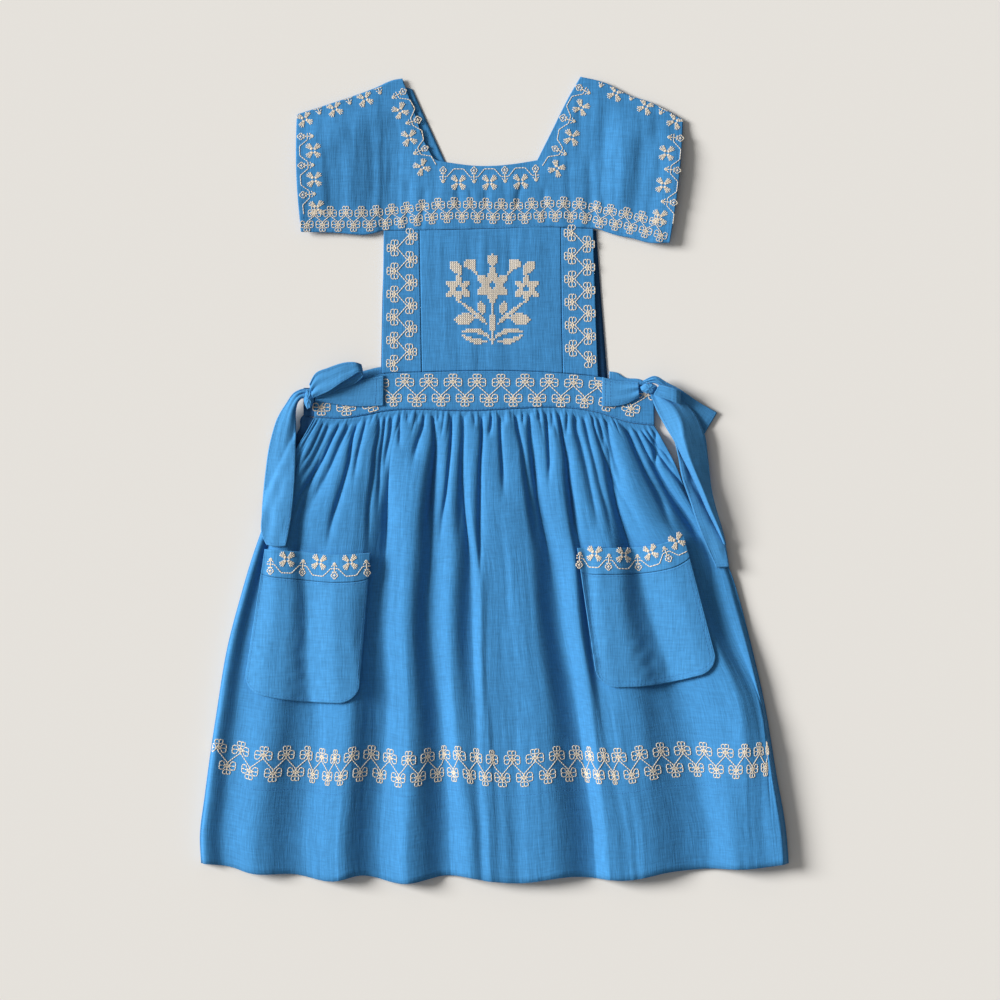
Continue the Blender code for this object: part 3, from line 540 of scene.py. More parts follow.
def yoke_edges():
    """Points along the shoulder and neck edge and along the lower edge, column for column."""
    upper, lower = [], []
    for section in YOKE_SECTIONS:
        shares = np.linspace(0, 1, section["columns"] * YOKE_FINE + 1)
        if section is not YOKE_SECTIONS[-1]:
            shares = shares[:-1]
        upper.append(along(section["upper"], shares))
        lower.append(along(section["lower"], shares))
    return np.concatenate(upper), np.concatenate(lower)


def yoke_plan(down):
    upper, lower = yoke_edges()
    plan = between(upper, lower + (0, SEAM / 2), down)
    bow = CUFF_BOW * np.sin(math.pi * np.asarray(down))[:, None]
    plan[..., 0] -= bow * smoothstep((-130 - plan[..., 0]) / 30)
    plan[..., 0] += bow * smoothstep((plan[..., 0] - 120) / 30)
    return plan


# Small soft creases of the yoke and sleeves, which only show on the cloth
YOKE_FINE_CREASES = table(
    "start end width depth",
    ((-79, 308), (-83, 203), 4, 1.2),
    ((-90, 300), (-92, 205), 3, 0.8),
    ((-112, 290), (-112, 220), 5, 0.7),
    ((-138, 280), (-134, 215), 5, 0.8),
    ((-70, 250), (-72, 206), 3, 0.7),
    ((-56, 244), (-60, 206), 2.4, 0.7),
    ((-31, 241), (-29, 222), 1.6, 0.9),
    ((-20, 240), (-18, 225), 1.5, 0.8),
    ((-6, 240), (-7, 224), 1.6, 0.7),
    ((22, 243), (17, 222), 1.8, 1),
    ((40, 244), (42, 208), 2.6, 0.8),
    ((60, 270), (63, 208), 4, 0.6),
    ((77, 270), (80, 206), 4, 1),
    ((100, 280), (97, 210), 5, 0.7),
    ((140, 280), (128, 215), 5, 0.7),
)


def crease_depth(crease, x, y):
    """How far a crease presses the cloth down at plan points, fading towards its ends."""
    start, end = np.array(crease["start"], float), np.array(crease["end"], float)
    run = end - start
    share = ((x - start[0]) * run[0] + (y - start[1]) * run[1]) / (run @ run)
    aside = ((x - start[0]) * run[1] - (y - start[1]) * run[0]) / np.linalg.norm(run)
    fade = smoothstep(share / 0.3) * smoothstep((1 - share) / 0.3 + 0.4)
    return crease["depth"] * np.exp(-((aside / crease["width"]) ** 2)) * fade


def yoke_height(x, y):
    lift = np.zeros_like(x)
    for bump in YOKE_LIFTS:
        far = ((x - bump["x"]) / bump["reach_x"]) ** 2 + ((y - bump["y"]) / bump["reach_y"]) ** 2
        lift = lift + bump["height"] * np.exp(-far)
    for crease in YOKE_CREASES:
        lift = lift - crease_depth(crease, x, y)
    lift = np.maximum(lift, 0) + 0.5
    for crease in YOKE_FINE_CREASES:
        lift = lift - crease_depth(crease, x, y)
    lift = lift + 0.45 * noise(x / 7, y / 60, 2) + 0.14 * noise(x / 3, y / 22, 5)
    edge = np.interp(x, *YOKE_EDGE[0].T)
    shoulder = 0.25 + 0.75 * smoothstep((edge - y) / 25)
    return FRONT_MID + np.maximum(lift, -0.3) * shoulder


YOKE_EDGE = yoke_edges()


def make_yoke():
    plan = yoke_plan(np.linspace(0, 1, 76))
    height = yoke_height(plan[..., 0], plan[..., 1])
    front = laid("yoke_front", "front_yoke", plan, height)
    plan = yoke_plan(np.linspace(0.012, 0.988, 40))
    inset = plan[:, 2:-2].copy()
    edge_x, edge_y = YOKE_EDGE[0][2:-2].T
    neck = (edge_x > -73) & (edge_x < -41)
    shift = np.where(neck, np.interp(edge_y, (260.5, 329), (-40.0, -70.5)) - edge_x, 0)
    fade = (1 - np.linspace(0, 1, 40) ** 0.5)[:, None]
    inset[..., 0] += shift[None, :] * fade
    height = BACK_MID + 0.25 * np.maximum(noise(inset[..., 0] / 9, inset[..., 1] / 70, 4), 0)
    return front, laid("yoke_back", "back_yoke", inset, height)


# Bib

def bib_edge(name, down):
    column = BIB_COLUMNS[name]
    return hermite((0, 0.5, 1), (column["top"], column["middle"], column["bottom"]), down)


def bib_plan(left, right, columns, down):
    """Plan points of a panel of the bib between two of its column lines."""
    gap = SEAM / 2
    x_left = bib_edge(left, down) + (gap if left.startswith("seam") else 0)
    x_right = bib_edge(right, down) - (gap if right.startswith("seam") else 0)
    across = np.linspace(0, 1, columns)
    x = x_left[:, None] * (1 - across) + x_right[:, None] * across
    top = seam_y(YOKE_SEAM, x) - gap
    bottom = seam_y(WAIST_UPPER, x) + gap
    return np.dstack([x, top * (1 - down[:, None]) + bottom * down[:, None]])


def bib_height(x, y):
    """Middle of the bib panel's cloth: a slight puff with soft upright creases."""
    left, right = BIB_COLUMNS["seam left"]["middle"], BIB_COLUMNS["seam right"]["middle"]
    across = np.clip((x - left) / (right - left), 0, 1)
    down = np.clip((206 - y) / (206 - 88), 0, 1)
    edge = np.sin(math.pi * across) ** 0.5 * np.minimum(1, np.sin(math.pi * down) * 2 + 0.35)
    creases = 0.55 * noise(x / 9.5, y / 90, 8) + 0.28 * noise(x / 4.5, y / 45, 9)
    creases = creases + 0.09 * noise(x / 2.2, y / 20, 3)
    return FRONT_MID + (0.9 + creases) * edge


def band_height(x, y):
    return FRONT_MID + 0.10 + 0.10 * noise(x / 8, y / 30, 12) + 0.06 * noise(x / 3, y / 9, 13)


def make_bib():
    made = []
    plan = bib_plan("seam left", "seam right", 120, np.linspace(0, 1, 110))
    made.append(laid("bib_cloth", "bib_panel", plan, bib_height(plan[..., 0], plan[..., 1])))
    for side, left, right in (("left", "outer left", "seam left"), ("right", "seam right", "outer right")):
        plan = bib_plan(left, right, 32, np.linspace(0, 1, 90))
        height = band_height(plan[..., 0], plan[..., 1])
        made.append(laid(f"bib_edging_{side}", f"bib_band_{side}", plan, height))
    down = np.linspace(0.01, 1, 24)
    left = np.interp(down, (0, 0.45, 1), (-89.8, -92.0, -93.2))
    right = np.interp(down, (0, 0.45, 1), (83.3, 87.3, 92.8))
    across = np.linspace(0, 1, 40)
    x = left[:, None] * (1 - across) + right[:, None] * across
    y = seam_y(YOKE_SEAM, x) * (1 - down[:, None]) + np.interp(across, (0, 1), (84.5, 81.5)) * down[:, None]
    height = BACK_MID + 0.2 * np.maximum(noise(x / 9, y / 60, 6), 0)
    # The back bodice's upper side gets the darker cloth with painted shade.
    return [*made, shell("bodice_back", "back_bib", np.dstack([x, y - SEAM / 2, height]), inside=PAINTED_SHADE_CLOTH)]


# Waistband

# How far the back's edge curls up at the left side opening
SIDE_CURL = 1.8


def waist_height(x, y):
    return WAISTBAND_MID + 0.12 * noise(x / 6, y / 30, 15) + 0.06 * noise(x / 2.6, y / 12, 16)


def make_waistband():
    gap = SEAM / 2
    x = np.linspace(WAIST_LOWER[0][0], WAIST_LOWER[-1][0], 240)
    upper = np.column_stack([x, seam_y(WAIST_UPPER, x) - gap])
    lower = np.column_stack([x, seam_y(WAIST_LOWER, x) + gap])
    plan = between(upper, lower, np.linspace(0, 1, 28))
    height = waist_height(plan[..., 0], plan[..., 1])
    roll = 0.5 * (1 - smoothstep((plan[..., 1] - lower[None, :, 1]) / 1.5))
    front = laid("waistband_front", "front_waistband", plan, height - roll)
    x = np.concatenate([np.linspace(-156.5, -146, 14)[:-1], np.linspace(-146, 131, 50)])
    upper = np.column_stack([x, seam_y(WAIST_UPPER, np.clip(x, -147.5, 131)) - 2.0 - 3.0 * (x < -147.5)])
    lower = np.column_stack([x, seam_y(WAIST_LOWER, np.clip(x, -147.5, 131)) + 0.5])
    plan = between(upper, lower, np.linspace(0, 1, 10))
    curl = SIDE_CURL * smoothstep((-149.0 - plan[..., 0]) / 7.0)
    low = 2.1 - 1.2 * smoothstep((-147.5 - plan[..., 0]) / 3.0)
    # The back waistband's upper side gets the darker cloth with painted shade.
    return front, laid("waistband_back", "back_waistband", plan, low + curl, inside=PAINTED_SHADE_CLOTH)


# Skirt

# Columns of the cloth's mesh across the whole skirt, about
SKIRT_FINE = 430


def fold_lines(v):
    """Shares across the skirt of its left edge, of each crest and valley and of its right edge."""
    lines = [np.zeros_like(v)]
    for fold in FOLDS:
        lines.append(hermite(FOLD_LEVELS, fold["crest"], v))
        lines.append(hermite(FOLD_LEVELS, fold["valley"], v))
    return lines


def waist_shares():
    """Shares of the waist where the large folds begin."""
    return np.concatenate(fold_lines(np.zeros(1)))


def fold_height(segment, t, u, v):
    """Rise of the large folds over the skirt's lowest level. Even segments rise to a crest and odd
    ones fall into a valley: near the waist they leave each valley steeply and fall slowly at
    first, and further down they are round waves."""
    heights = [VALLEY_MID] + [fold[level] for fold in FOLDS for level in ("top", "floor")]
    hems = [VALLEY_MID] + [fold[level] for fold in FOLDS for level in ("top", "hem")]
    low = change(v, HEM_FOLDS)
    start = np.take(heights, segment) * (1 - low) + np.take(hems, segment) * low
    end = np.take(heights, segment + 1) * (1 - low) + np.take(hems, segment + 1) * low
    rise = np.sin(math.pi / 2 * t) ** FOLD_SHARPNESS["rise"]
    crisp = np.where(segment % 2 == 0, rise, t ** FOLD_SHARPNESS["fall"])
    wave = (1 - np.cos(math.pi * t)) / 2
    ease = crisp + (wave - crisp) * change(v, ROUND_FOLDS)
    fold = (start + (end - start) * ease - VALLEY_MID) * smoothstep(v / FOLD_RISE)
    corner = HEM_CORNER * change(v, CORNER_DOWN) * change(u, CORNER_ACROSS)
    return (fold + corner) * smoothstep(u / EDGE_LEFT) * smoothstep((1 - u) / EDGE_RIGHT)


def gather_height(q, v):
    """Small gathers right under the waist seam, each with its own place, depth and length."""
    number = q * SMALL_GATHERS + 0.9 * noise(q * SMALL_GATHERS * 0.5, v * 4, 21)
    index = np.round(number)
    size = 0.65 + 0.35 * np.sin(index * 1.9 + 2 * np.cos(index * 0.7))
    reach = 0.022 + 0.065 * (0.5 + 0.5 * np.sin(index * 2.4 + np.cos(index * 1.7) * 2)) ** 2
    trough = np.exp(-(np.abs((number - index) / 0.20) ** 1.5))
    return -SMALL_DEPTH * size * trough * (1 - smoothstep(v / reach))


# Creases that run down from the waist seam: plan points of each, its half width and its depth.
SKIRT_CREASES = table(
    "wide deep line",
    (1.2, 1.2, [(-142.8, 51.9), (-151.7, 37.3), (-161.9, 17.8)]),
    (1.4, 1.6, [(-138.8, 50.2), (-142, 42.9), (-151.7, 21.9), (-163.1, 4.8)]),
    (2.6, 2.4, [(-133.9, 49.4), (-138.8, 37.3), (-148.5, 17), (-158.2, 0.8), (-163.9, -11.4)]),
    (
        1.6, 2.6,
        [
            (-125.8, 47.8), (-132.3, 34.8), (-142, 13.8), (-151.7, -1.6), (-163.1, -21.1),
            (-166.3, -35.7),
        ],
    ),
    (2.8, 2.6, [(-117.7, 47.8), (-125.8, 30.8), (-133.9, 11.3), (-145.3, -11.4), (-155, -27.6)]),
    (
        1.8, 3,
        [
            (-110.8, 50.2), (-115.3, 37.3), (-119.3, 13), (-125.8, -11.4), (-132.3, -31.6),
            (-137.1, -57.4),
        ],
    ),
    (1.6, 2, [(-104.7, 50.2), (-108, 37.3), (-112, 19.4), (-115.3, -3.3)]),
    (
        1.8, 2.2,
        [(-94.2, 53.5), (-95, 37.3), (-97.4, 24.3), (-99, 4.8), (-102.3, -19.5), (-103.1, -57.4)],
    ),
    (1.6, 2.2, [(-89.3, 54.3), (-90.9, 37.3), (-93.4, 17), (-94.2, -3.3), (-95.8, -27.6)]),
    (2.2, 2.6, [(-83.6, 54.3), (-85.3, 37.3), (-88.5, 21.1), (-90.9, 4.8)]),
    (1.4, 1.8, [(-77.1, 55.1), (-77.5, 42.9), (-77.5, 24.3)]),
    (1.2, 1.4, [(-71, 55.1), (-71.8, 46.6)]),
    (1.2, 1.4, [(-62.5, 54.3), (-63.7, 45.6)]),
    (1.8, 2.2, [(-57.2, 54.3), (-58.9, 42.1), (-62.9, 30.8), (-67, 13)]),
    (
        2, 2.6,
        [(-50.4, 55.1), (-48.7, 35.6), (-49.1, 13), (-51.6, -11.4), (-54.8, -35.7), (-57.2, -57.4)],
    ),
    (1.2, 1.5, [(-45.1, 55.1), (-46.3, 47.2)]),
    (
        1.5, 2.8,
        [(-34.9, 55.1), (-35.4, 34.8), (-37, 13), (-39.4, -11.4), (-43.1, -35.7), (-43.9, -57.4)],
    ),
    (
        2.4, 2,
        [(-25.2, 55.1), (-25.6, 37.3), (-26.8, 17), (-27.2, -3.3), (-28.5, -27.6), (-28.9, -57.4)],
    ),
    (1.2, 1.3, [(-16.3, 55.1), (-16.3, 43.4)]),
    (
        1.6, 2.8,
        [
            (-10.2, 54.3), (-10.2, 33.2), (-11.4, 13), (-11.8, -11.4), (-12.2, -35.7), (-11.8, -57.4),
            (-12, -90),
        ],
    ),
    (1.3, 1.8, [(-2.5, 55.1), (-2.9, 45.4), (-4.5, 34.3)]),
    (1.6, 2.3, [(4.4, 53.5), (5.2, 33.2), (6.8, 8.9), (7.6, -15.4)]),
    (1.2, 1.4, [(8, 54.3), (7.8, 45.8)]),
    (2.4, 2.8, [(17.3, 54.3), (19, 43.8), (22.2, 29.2), (26.3, 0.8), (31.1, -27.6), (35.2, -57.4)]),
    (1.2, 1.5, [(23.2, 53.5), (23.2, 45)]),
    (2, 2.4, [(28.7, 53.5), (29.5, 35.6), (31.9, 13), (35.7, -11.4)]),
    (1.2, 1.5, [(36.4, 54.3), (36.4, 47.4)]),
    (1.5, 2.4, [(42.5, 54.3), (43.7, 37.3), (45, 13), (44.6, -7.3)]),
    (1.3, 1.7, [(46.6, 54.3), (47.8, 41.8)]),
    (1.7, 3, [(52.7, 54.3), (55.9, 35.6), (59.1, 17), (60.8, 0.8), (64, -23.5), (65.6, -57.4)]),
    (1.3, 1.7, [(59.6, 53.5), (59.1, 35.3)]),
    (
        3.2, 2.8,
        [
            (66.8, 54.3), (66.8, 42.9), (70.5, 29.2), (74.5, 13), (77.8, -3.3), (82.7, -27.6),
            (85.9, -51.9),
        ],
    ),
    (3, 2.6, [(72.9, 51.9), (77.8, 30.8), (82.7, 11.3), (85.9, -3.3), (92.4, -27.6), (97.2, -57.4)]),
    (
        1.6, 1.6,
        [
            (81, 45.4), (85.9, 30.8), (91.6, 14.6), (99.7, -4.9), (107.8, -17.9), (116.7, -34.9),
            (124, -51.9),
        ],
    ),
    (1.6, 1.8, [(85.1, 50.2), (88.3, 37.3), (90, 25.5)]),
    (2.6, 2.4, [(91.6, 51.1), (94, 35.6), (97.2, 21.1), (102.1, 4.8), (105.4, -11.4)]),
    (
        2.6, 3.4,
        [
            (104.5, 48.6), (110.2, 37.3), (116.7, 21.9), (124.8, 4.8), (134.5, -13), (141.8, -31.6),
            (147.2, -43.8),
        ],
    ),
    (
        1.8, 2.2,
        [
            (113.5, 44.6), (119.9, 32.4), (126.4, 19.4), (132.9, 8.1), (140.2, -3.6), (148.6, -16),
            (156.5, -30), (162.6, -41), (169, -56),
        ],
    ),
    (
        1.5, 2.2,
        [
            (118.3, 43.8), (125.6, 33.2), (134.5, 21.1), (141, 12), (150.2, 0.8), (160, -13),
            (170, -29), (177, -43),
        ],
    ),
    (1.2, 1.8, [(124, 42.1), (131.3, 30.8), (140.2, 21.1), (147.2, 9.7)]),
    (2.5, 2.6, [(131.9, 11.3), (143.2, -11.4), (153.8, -27.6), (163.5, -43.8), (167.6, -51.9)]),
)


def crease_relief(x, y, v):
    """Troughs of the creases, narrow at the seam and wider and fainter towards their lower ends."""
    relief = np.zeros_like(x)
    for crease in SKIRT_CREASES:
        line = np.array(crease["line"], float)
        middle = hermite(-line[:, 1], line[:, 0], -y)
        slope = hermite(-line[:, 1], line[:, 0], 1 - y) - middle
        share = (line[0, 1] - y) / (line[0, 1] - line[-1, 1])
        aside = (x - middle) / np.hypot(1, slope) / (crease["wide"] * (0.65 + 0.7 * np.clip(share, 0, 1)))
        trough = 0.7 * np.exp(-(np.abs(aside) ** 1.6)) + 0.3 * np.exp(-((aside / 2.8) ** 2))
        relief -= CREASE_DEEPER * crease["deep"] * trough * (1 - change(share, CREASE_FADE))
    return relief * smoothstep(v * SKIRT_LENGTH / 4)


def soft_creases(q, v):
    """Long shallow troughs and ridges between the large folds, uneven in width and length."""
    flow = q * 540
    long = 0.75 * noise(flow / 17 + 0.4 * noise(flow / 60, v * 3, 30), v * 2.2, 31)
    short = 0.34 * noise(flow / 7.5, v * 5.5, 32) + 0.12 * noise(flow / 3.2, v * 12, 33)
    return (long + short) * smoothstep(v / 0.12)


def skirt_surface(segment, t, u, v):
    """Middle of the front skirt's cloth, for a share across and down it, t of the way over a fold's
    side."""
    shares = waist_shares()
    q = shares[segment] + t * (shares[segment + 1] - shares[segment])
    left = hermite(*zip(*SKIRT_LEFT), v)
    right = hermite(*zip(*SKIRT_RIGHT), v)
    waist_left, waist_right = WAIST_LOWER[0][0], WAIST_LOWER[-1][0]
    top = seam_y(WAIST_LOWER, waist_left + (waist_right - waist_left) * u) - SEAM / 2
    x = left + (right - left) * u
    y = top + (hermite(*zip(*SKIRT_HEM), u) - top) * v
    z = VALLEY_MID + (WAISTBAND_MID - 0.6 - VALLEY_MID) * (1 - smoothstep(v / 0.05))
    lift = GATHER_LIFT * smoothstep(v / 0.03) * (1 - smoothstep(v / GATHER_DOWN))
    relief = fold_height(segment, t, u, v) + lift + gather_height(q, v)
    relief = relief + crease_relief(x, y, v) + soft_creases(q, v)
    return np.stack([x, y, z + np.maximum(relief, LOWEST_RELIEF)], axis=-1)


def skirt_column(segment, t, v):
    """Points down the skirt that stay t of the way over one side of a fold."""
    lines = fold_lines(v)
    u = lines[segment] + t * (lines[segment + 1] - lines[segment])
    return skirt_surface(np.full(v.shape, segment), np.full(v.shape, float(t)), u, v)


def skirt_columns(fine):
    """Columns of the skirt as (side of a fold, share over it), about this many in all."""
    columns = []
    for segment, width in enumerate(np.diff(waist_shares())):
        count = max(6, round(width * fine))
        columns += [(segment, step / count) for step in range(count)]
    return columns + [(2 * len(FOLDS) - 1, 1.0)]


def skirt_middle():
    down = np.concatenate([
        np.linspace(0, 0.14, 30)[:-1], np.linspace(0.14, 0.5, 42)[:-1], np.linspace(0.5, 1, 36),
    ])
    return np.stack([skirt_column(segment, t, down) for segment, t in skirt_columns(SKIRT_FINE)], axis=1)


class Panel:
    """Cloth laid as a grid of middle points, to be read at places in the flat cloth."""

    def __init__(self, middle):
        self.middle = middle
        self.places = flat_places(middle)
        self.width, self.length = self.places[-1, -1]

    def at(self, u, v):
        rows, columns = self.middle.shape[:2]
        column = np.interp(u, self.places[0, :, 0], np.arange(columns))
        row = np.interp(v, self.places[:, 0, 1], np.arange(rows))
        return read_grid(self.middle, row, column)


SKIRT = Panel(skirt_middle())


class Relief:
    """Highest middle of the front skirt near each plan point, on a grid of this spacing."""

    SPACING = 1.5
    MARGIN = 12

    def __init__(self, reach):
        x, y, z = (SKIRT.middle[..., k] for k in range(3))
        self.x0, self.y0 = x.min() - self.MARGIN, y.min() - self.MARGIN
        ends = ((y.max() - self.y0, x.max() - self.x0) + np.array(self.MARGIN)) / self.SPACING
        self.grid = np.zeros([int(end) + 2 for end in ends])
        i = ((y - self.y0) / self.SPACING).round().astype(int)
        j = ((x - self.x0) / self.SPACING).round().astype(int)
        np.maximum.at(self.grid, (i.ravel(), j.ravel()), z.ravel())
        for _ in range(2):
            self.grid = np.where(self.grid > 0, self.grid, self.spread(self.grid, 1))
        self.grid = self.spread(self.grid, max(1, round(reach / self.SPACING)))
        for _ in range(3):
            self.grid = self.blur(self.grid)

    def spread(self, grid, cells):
        steps = range(-cells, cells + 1)
        return np.max([np.roll(grid, (i, j), (0, 1)) for i in steps for j in steps], axis=0)

    def blur(self, grid):
        for axis in (0, 1):
            grid = (np.roll(grid, 1, axis) + 2 * grid + np.roll(grid, -1, axis)) / 4
        return grid

    def at(self, x, y):
        rows, columns = self.grid.shape
        row = np.clip((np.asarray(y, float) - self.y0) / self.SPACING, 0, rows - 1.001)
        column = np.clip((np.asarray(x, float) - self.x0) / self.SPACING, 0, columns - 1.001)
        return read_grid(self.grid, row, column)


COVER = Relief(reach=2.6)


def make_skirt():
    front = shell("skirt_front", "front_skirt", SKIRT.middle)
    down = np.concatenate([np.linspace(0.004, 0.1, 22)[:-1], np.linspace(0.1, 1, 50)])
    across = np.concatenate([np.linspace(0, 0.06, 16)[:-1], np.linspace(0.06, 1, 164)])
    left = hermite(*zip(*SKIRT_LEFT), down) + 1.0
    right = hermite(*zip(*SKIRT_RIGHT), down) - 1.0
    waist_x = WAIST_LOWER[0][0] + (WAIST_LOWER[-1][0] - WAIST_LOWER[0][0]) * across
    top = seam_y(WAIST_LOWER, waist_x)
    x = left[:, None] * (1 - across) + right[:, None] * across
    side = (9.0 + 1.2 * np.sin(down * 150)) * (1 - smoothstep((down - 0.012) / 0.085))
    x = x - side[:, None] * smoothstep(1 - across / 0.07)
    top = top + 3.0 * smoothstep(1 - across / 0.04)
    y = top + (hermite(*zip(*SKIRT_HEM), across) + 2.0 - top) * down[:, None]
    ripple = np.abs(np.cos(math.pi * across * 36 + 0.8 * noise(across * 9, 0, 40)))[None, :]
    gathers = 0.7 * ripple * (1 - smoothstep(down / 0.35))[:, None]
    height = BACK_MID + gathers + 0.35 * np.maximum(noise(across[None, :] * 16, down[:, None] * 3, 41), 0)
    inside = np.interp(y, (20.0, 34.0, 62.0), (-164.0, -152.0, -147.5))
    curl = SIDE_CURL * smoothstep((inside - x) / 9.0) * smoothstep((y - 14) / 14)
    # The back skirt's upper side gets the darker cloth with painted shade.
    return front, shell("skirt_back", "back_skirt", np.dstack([x, y, height + curl]), inside=PAINTED_SHADE_CLOTH)


# Pockets

# How much higher their bands lie than the rest of them
POCKET_BAND_LIFT = 0.25


def pocket_plan(pocket, across, down):
    """Plan points of a pocket with rounded lower corners, for shares across and down it."""
    top = along(pocket["top"], across)
    bottom = along(pocket["bottom"], across)
    width = np.linalg.norm(bottom[-1] - bottom[0])
    side = np.minimum(np.minimum(across, 1 - across) * width, POCKET_CORNER)
    short = POCKET_CORNER - np.sqrt(POCKET_CORNER**2 - (POCKET_CORNER - side) ** 2)
    length = np.linalg.norm(bottom - top, axis=1)
    return between(top, bottom + (top - bottom) * (short / length)[:, None], down)


def pocket_height(x, y):
    return COVER.at(x, y) + LAYER + 0.18 * noise(x / 12, y / 40, 50) + 0.06 * noise(x / 4, y / 14, 51)


def make_pocket(pocket):
    eased = np.sin(np.linspace(-math.pi / 2, math.pi / 2, 76)) / 2 + 0.5
    across = 0.5 * eased + 0.5 * np.linspace(0, 1, 76)
    length = abs(pocket["bottom"][1][1] - pocket["top"][1][1])
    seam = pocket["band"] / length
    gap = SEAM / 2 / length
    parts = (
        ("edging", "pocket_band_", np.linspace(0, seam - gap, 22)),
        ("cloth", "pocket_", np.linspace(seam + gap, 1, 84)),
    )
    made = []
    for word, node, down in parts:
        plan = pocket_plan(pocket, across, down)
        height = pocket_height(plan[..., 0], plan[..., 1])
        if word == "edging":
            height = height + POCKET_BAND_LIFT
        side = pocket["side"]
        made.append(laid(f"pocket_{word}_{side}", node + side, plan, height, POCKET_CLOTH_PAINTED_LIGHT))
    return made


# Bows

# Where the cloth of a tie lies otherwise than its solid: an upper end that runs on into the knot,
# its own heights, and how high it lies over the skirt.
TIE_LOOKS = {
    "tie_left_tail": {"start": [[(-151.5, 73.6, 8.0), (-152.0, 70.5, 9.0), (-152.0, 66.0, 8.0)]]},
    "tie_left_loop": {
        "heights": [
            (8.2, 8.2), (8.0, 8.0), (8.0, 8.0), (8.6, 8.6), (10.6, 10.6),
            (12.8, 12.6), (13.6, 13.4), (12.8, 12.4), (11.6, 11.2), (10.4, 10.0),
        ],
    },
    "tie_right_flap": {
        "heights": [(9.4, 9.4), (11.6, 10.6), (10.4, 9.4), (8.2, 7.4), (5.2, 4.6), (2.6, 2.0)],
    },
    "tie_right_tail_upper": {
        "creased": True,
        "clearance": 2.7,
        "heights": [
            (7.6, 8.6, 8.0), (8.0, 11.5, 7.0), (9.0, 14.5, 6.6), (10.0, 16.4, 6.4), (11.0, 16.4, 6.4),
            (11.0, 14.6, 6.8), (10.0, 12.8, 7.0), (8.6, 10.4, 7.2), (7.8, 8.2, 7.2),
        ],
    },
}


def ribbon_middle(ribbon, fine):
    """Grid of middle points of a tie that runs through the rows of points of its table."""
    changes = TIE_LOOKS.get(ribbon["name"], {})
    stations = np.array(changes.get("start", []) + ribbon["stations"], float)
    if "heights" in changes:
        stations[..., 2] = changes["heights"]
    steps = np.linalg.norm(np.diff(stations, axis=0), axis=2).mean(axis=1)
    lengths = np.r_[0, np.cumsum(steps)] / steps.sum()
    rows = (ribbon["rows"] - 1) * fine + 1
    columns = (ribbon["columns"] - 1) * fine + 1
    lines = hermite(lengths, stations.reshape(len(stations), -1), np.linspace(0, 1, rows))
    lines = lines.reshape(rows, *stations.shape[1:])
    marks = np.linspace(0, 1, stations.shape[1])
    across = np.linspace(0, 1, columns)
    if changes.get("creased"):
        middle = np.array([
            np.column_stack([np.interp(across, marks, axis) for axis in line.T]) for line in lines
        ])
    else:
        middle = np.array([hermite(marks, line, across) for line in lines])
    clearance = changes.get("clearance", ribbon["clearance"])
    if clearance:
        over = COVER.at(middle[..., 0], middle[..., 1]) + clearance
        middle[..., 2] = np.maximum(middle[..., 2], over)
    return middle


# How a knot or a sewn end draws up each tie: pleats at its start and at its end, with their depth.
TIE_PLEATS = {
    "tie_left_strap": {"start": 0.0, "end": 0.9},
    "tie_left_loop": {"start": 0.5, "end": 0.9},
    "tie_left_tail": {"start": 1.2, "end": 0.0},
    "tie_right_strap": {"start": 0.0, "end": 0.8},
    "tie_right_flap": {"start": 0.8, "end": 0.0},
    "tie_right_loop": {"start": 0.5, "end": 0.6},
    "tie_right_tail_upper": {"start": 1.0, "end": 0.0},
    "tie_right_tail_lower": {"start": 0.6, "end": 0.0},
}

# How much wider a knot's cloth is than its solid
KNOT_FULLER = 1.08


def creased_ribbon(ribbon):
    """Grid of the tie's middle points with pleats at its knot and soft creases along it."""
    middle = ribbon_middle(ribbon, 5)
    places = flat_places(middle)
    across, down = places[..., 0], places[..., 1]
    width, length = across.max(), down.max()
    pleats = TIE_PLEATS[ribbon["name"]]
    wave = np.cos(2 * math.pi * (2.3 * across / width + 0.2))
    drawn = pleats["start"] * np.exp(-down / 13) + pleats["end"] * np.exp(-(length - down) / 11)
    seed = len(ribbon["name"])
    soft = 0.40 * noise(across / 8, down / 34, seed) + 0.16 * noise(across / 3.6, down / 13, seed + 3)
    normal = unit_normals(middle)
    normal *= np.where(normal[..., 2:] < 0, -1, 1)
    return middle + normal * (drawn * wave + soft)[..., None]


TIE_PANELS = {ribbon["name"]: Panel(creased_ribbon(ribbon)) for ribbon in RIBBONS}


def make_ribbon(ribbon):
    name = ribbon["name"]
    return shell(name + "_cloth", name, TIE_PANELS[name].middle, TIE_CLOTH_PAINTED_LIGHT)


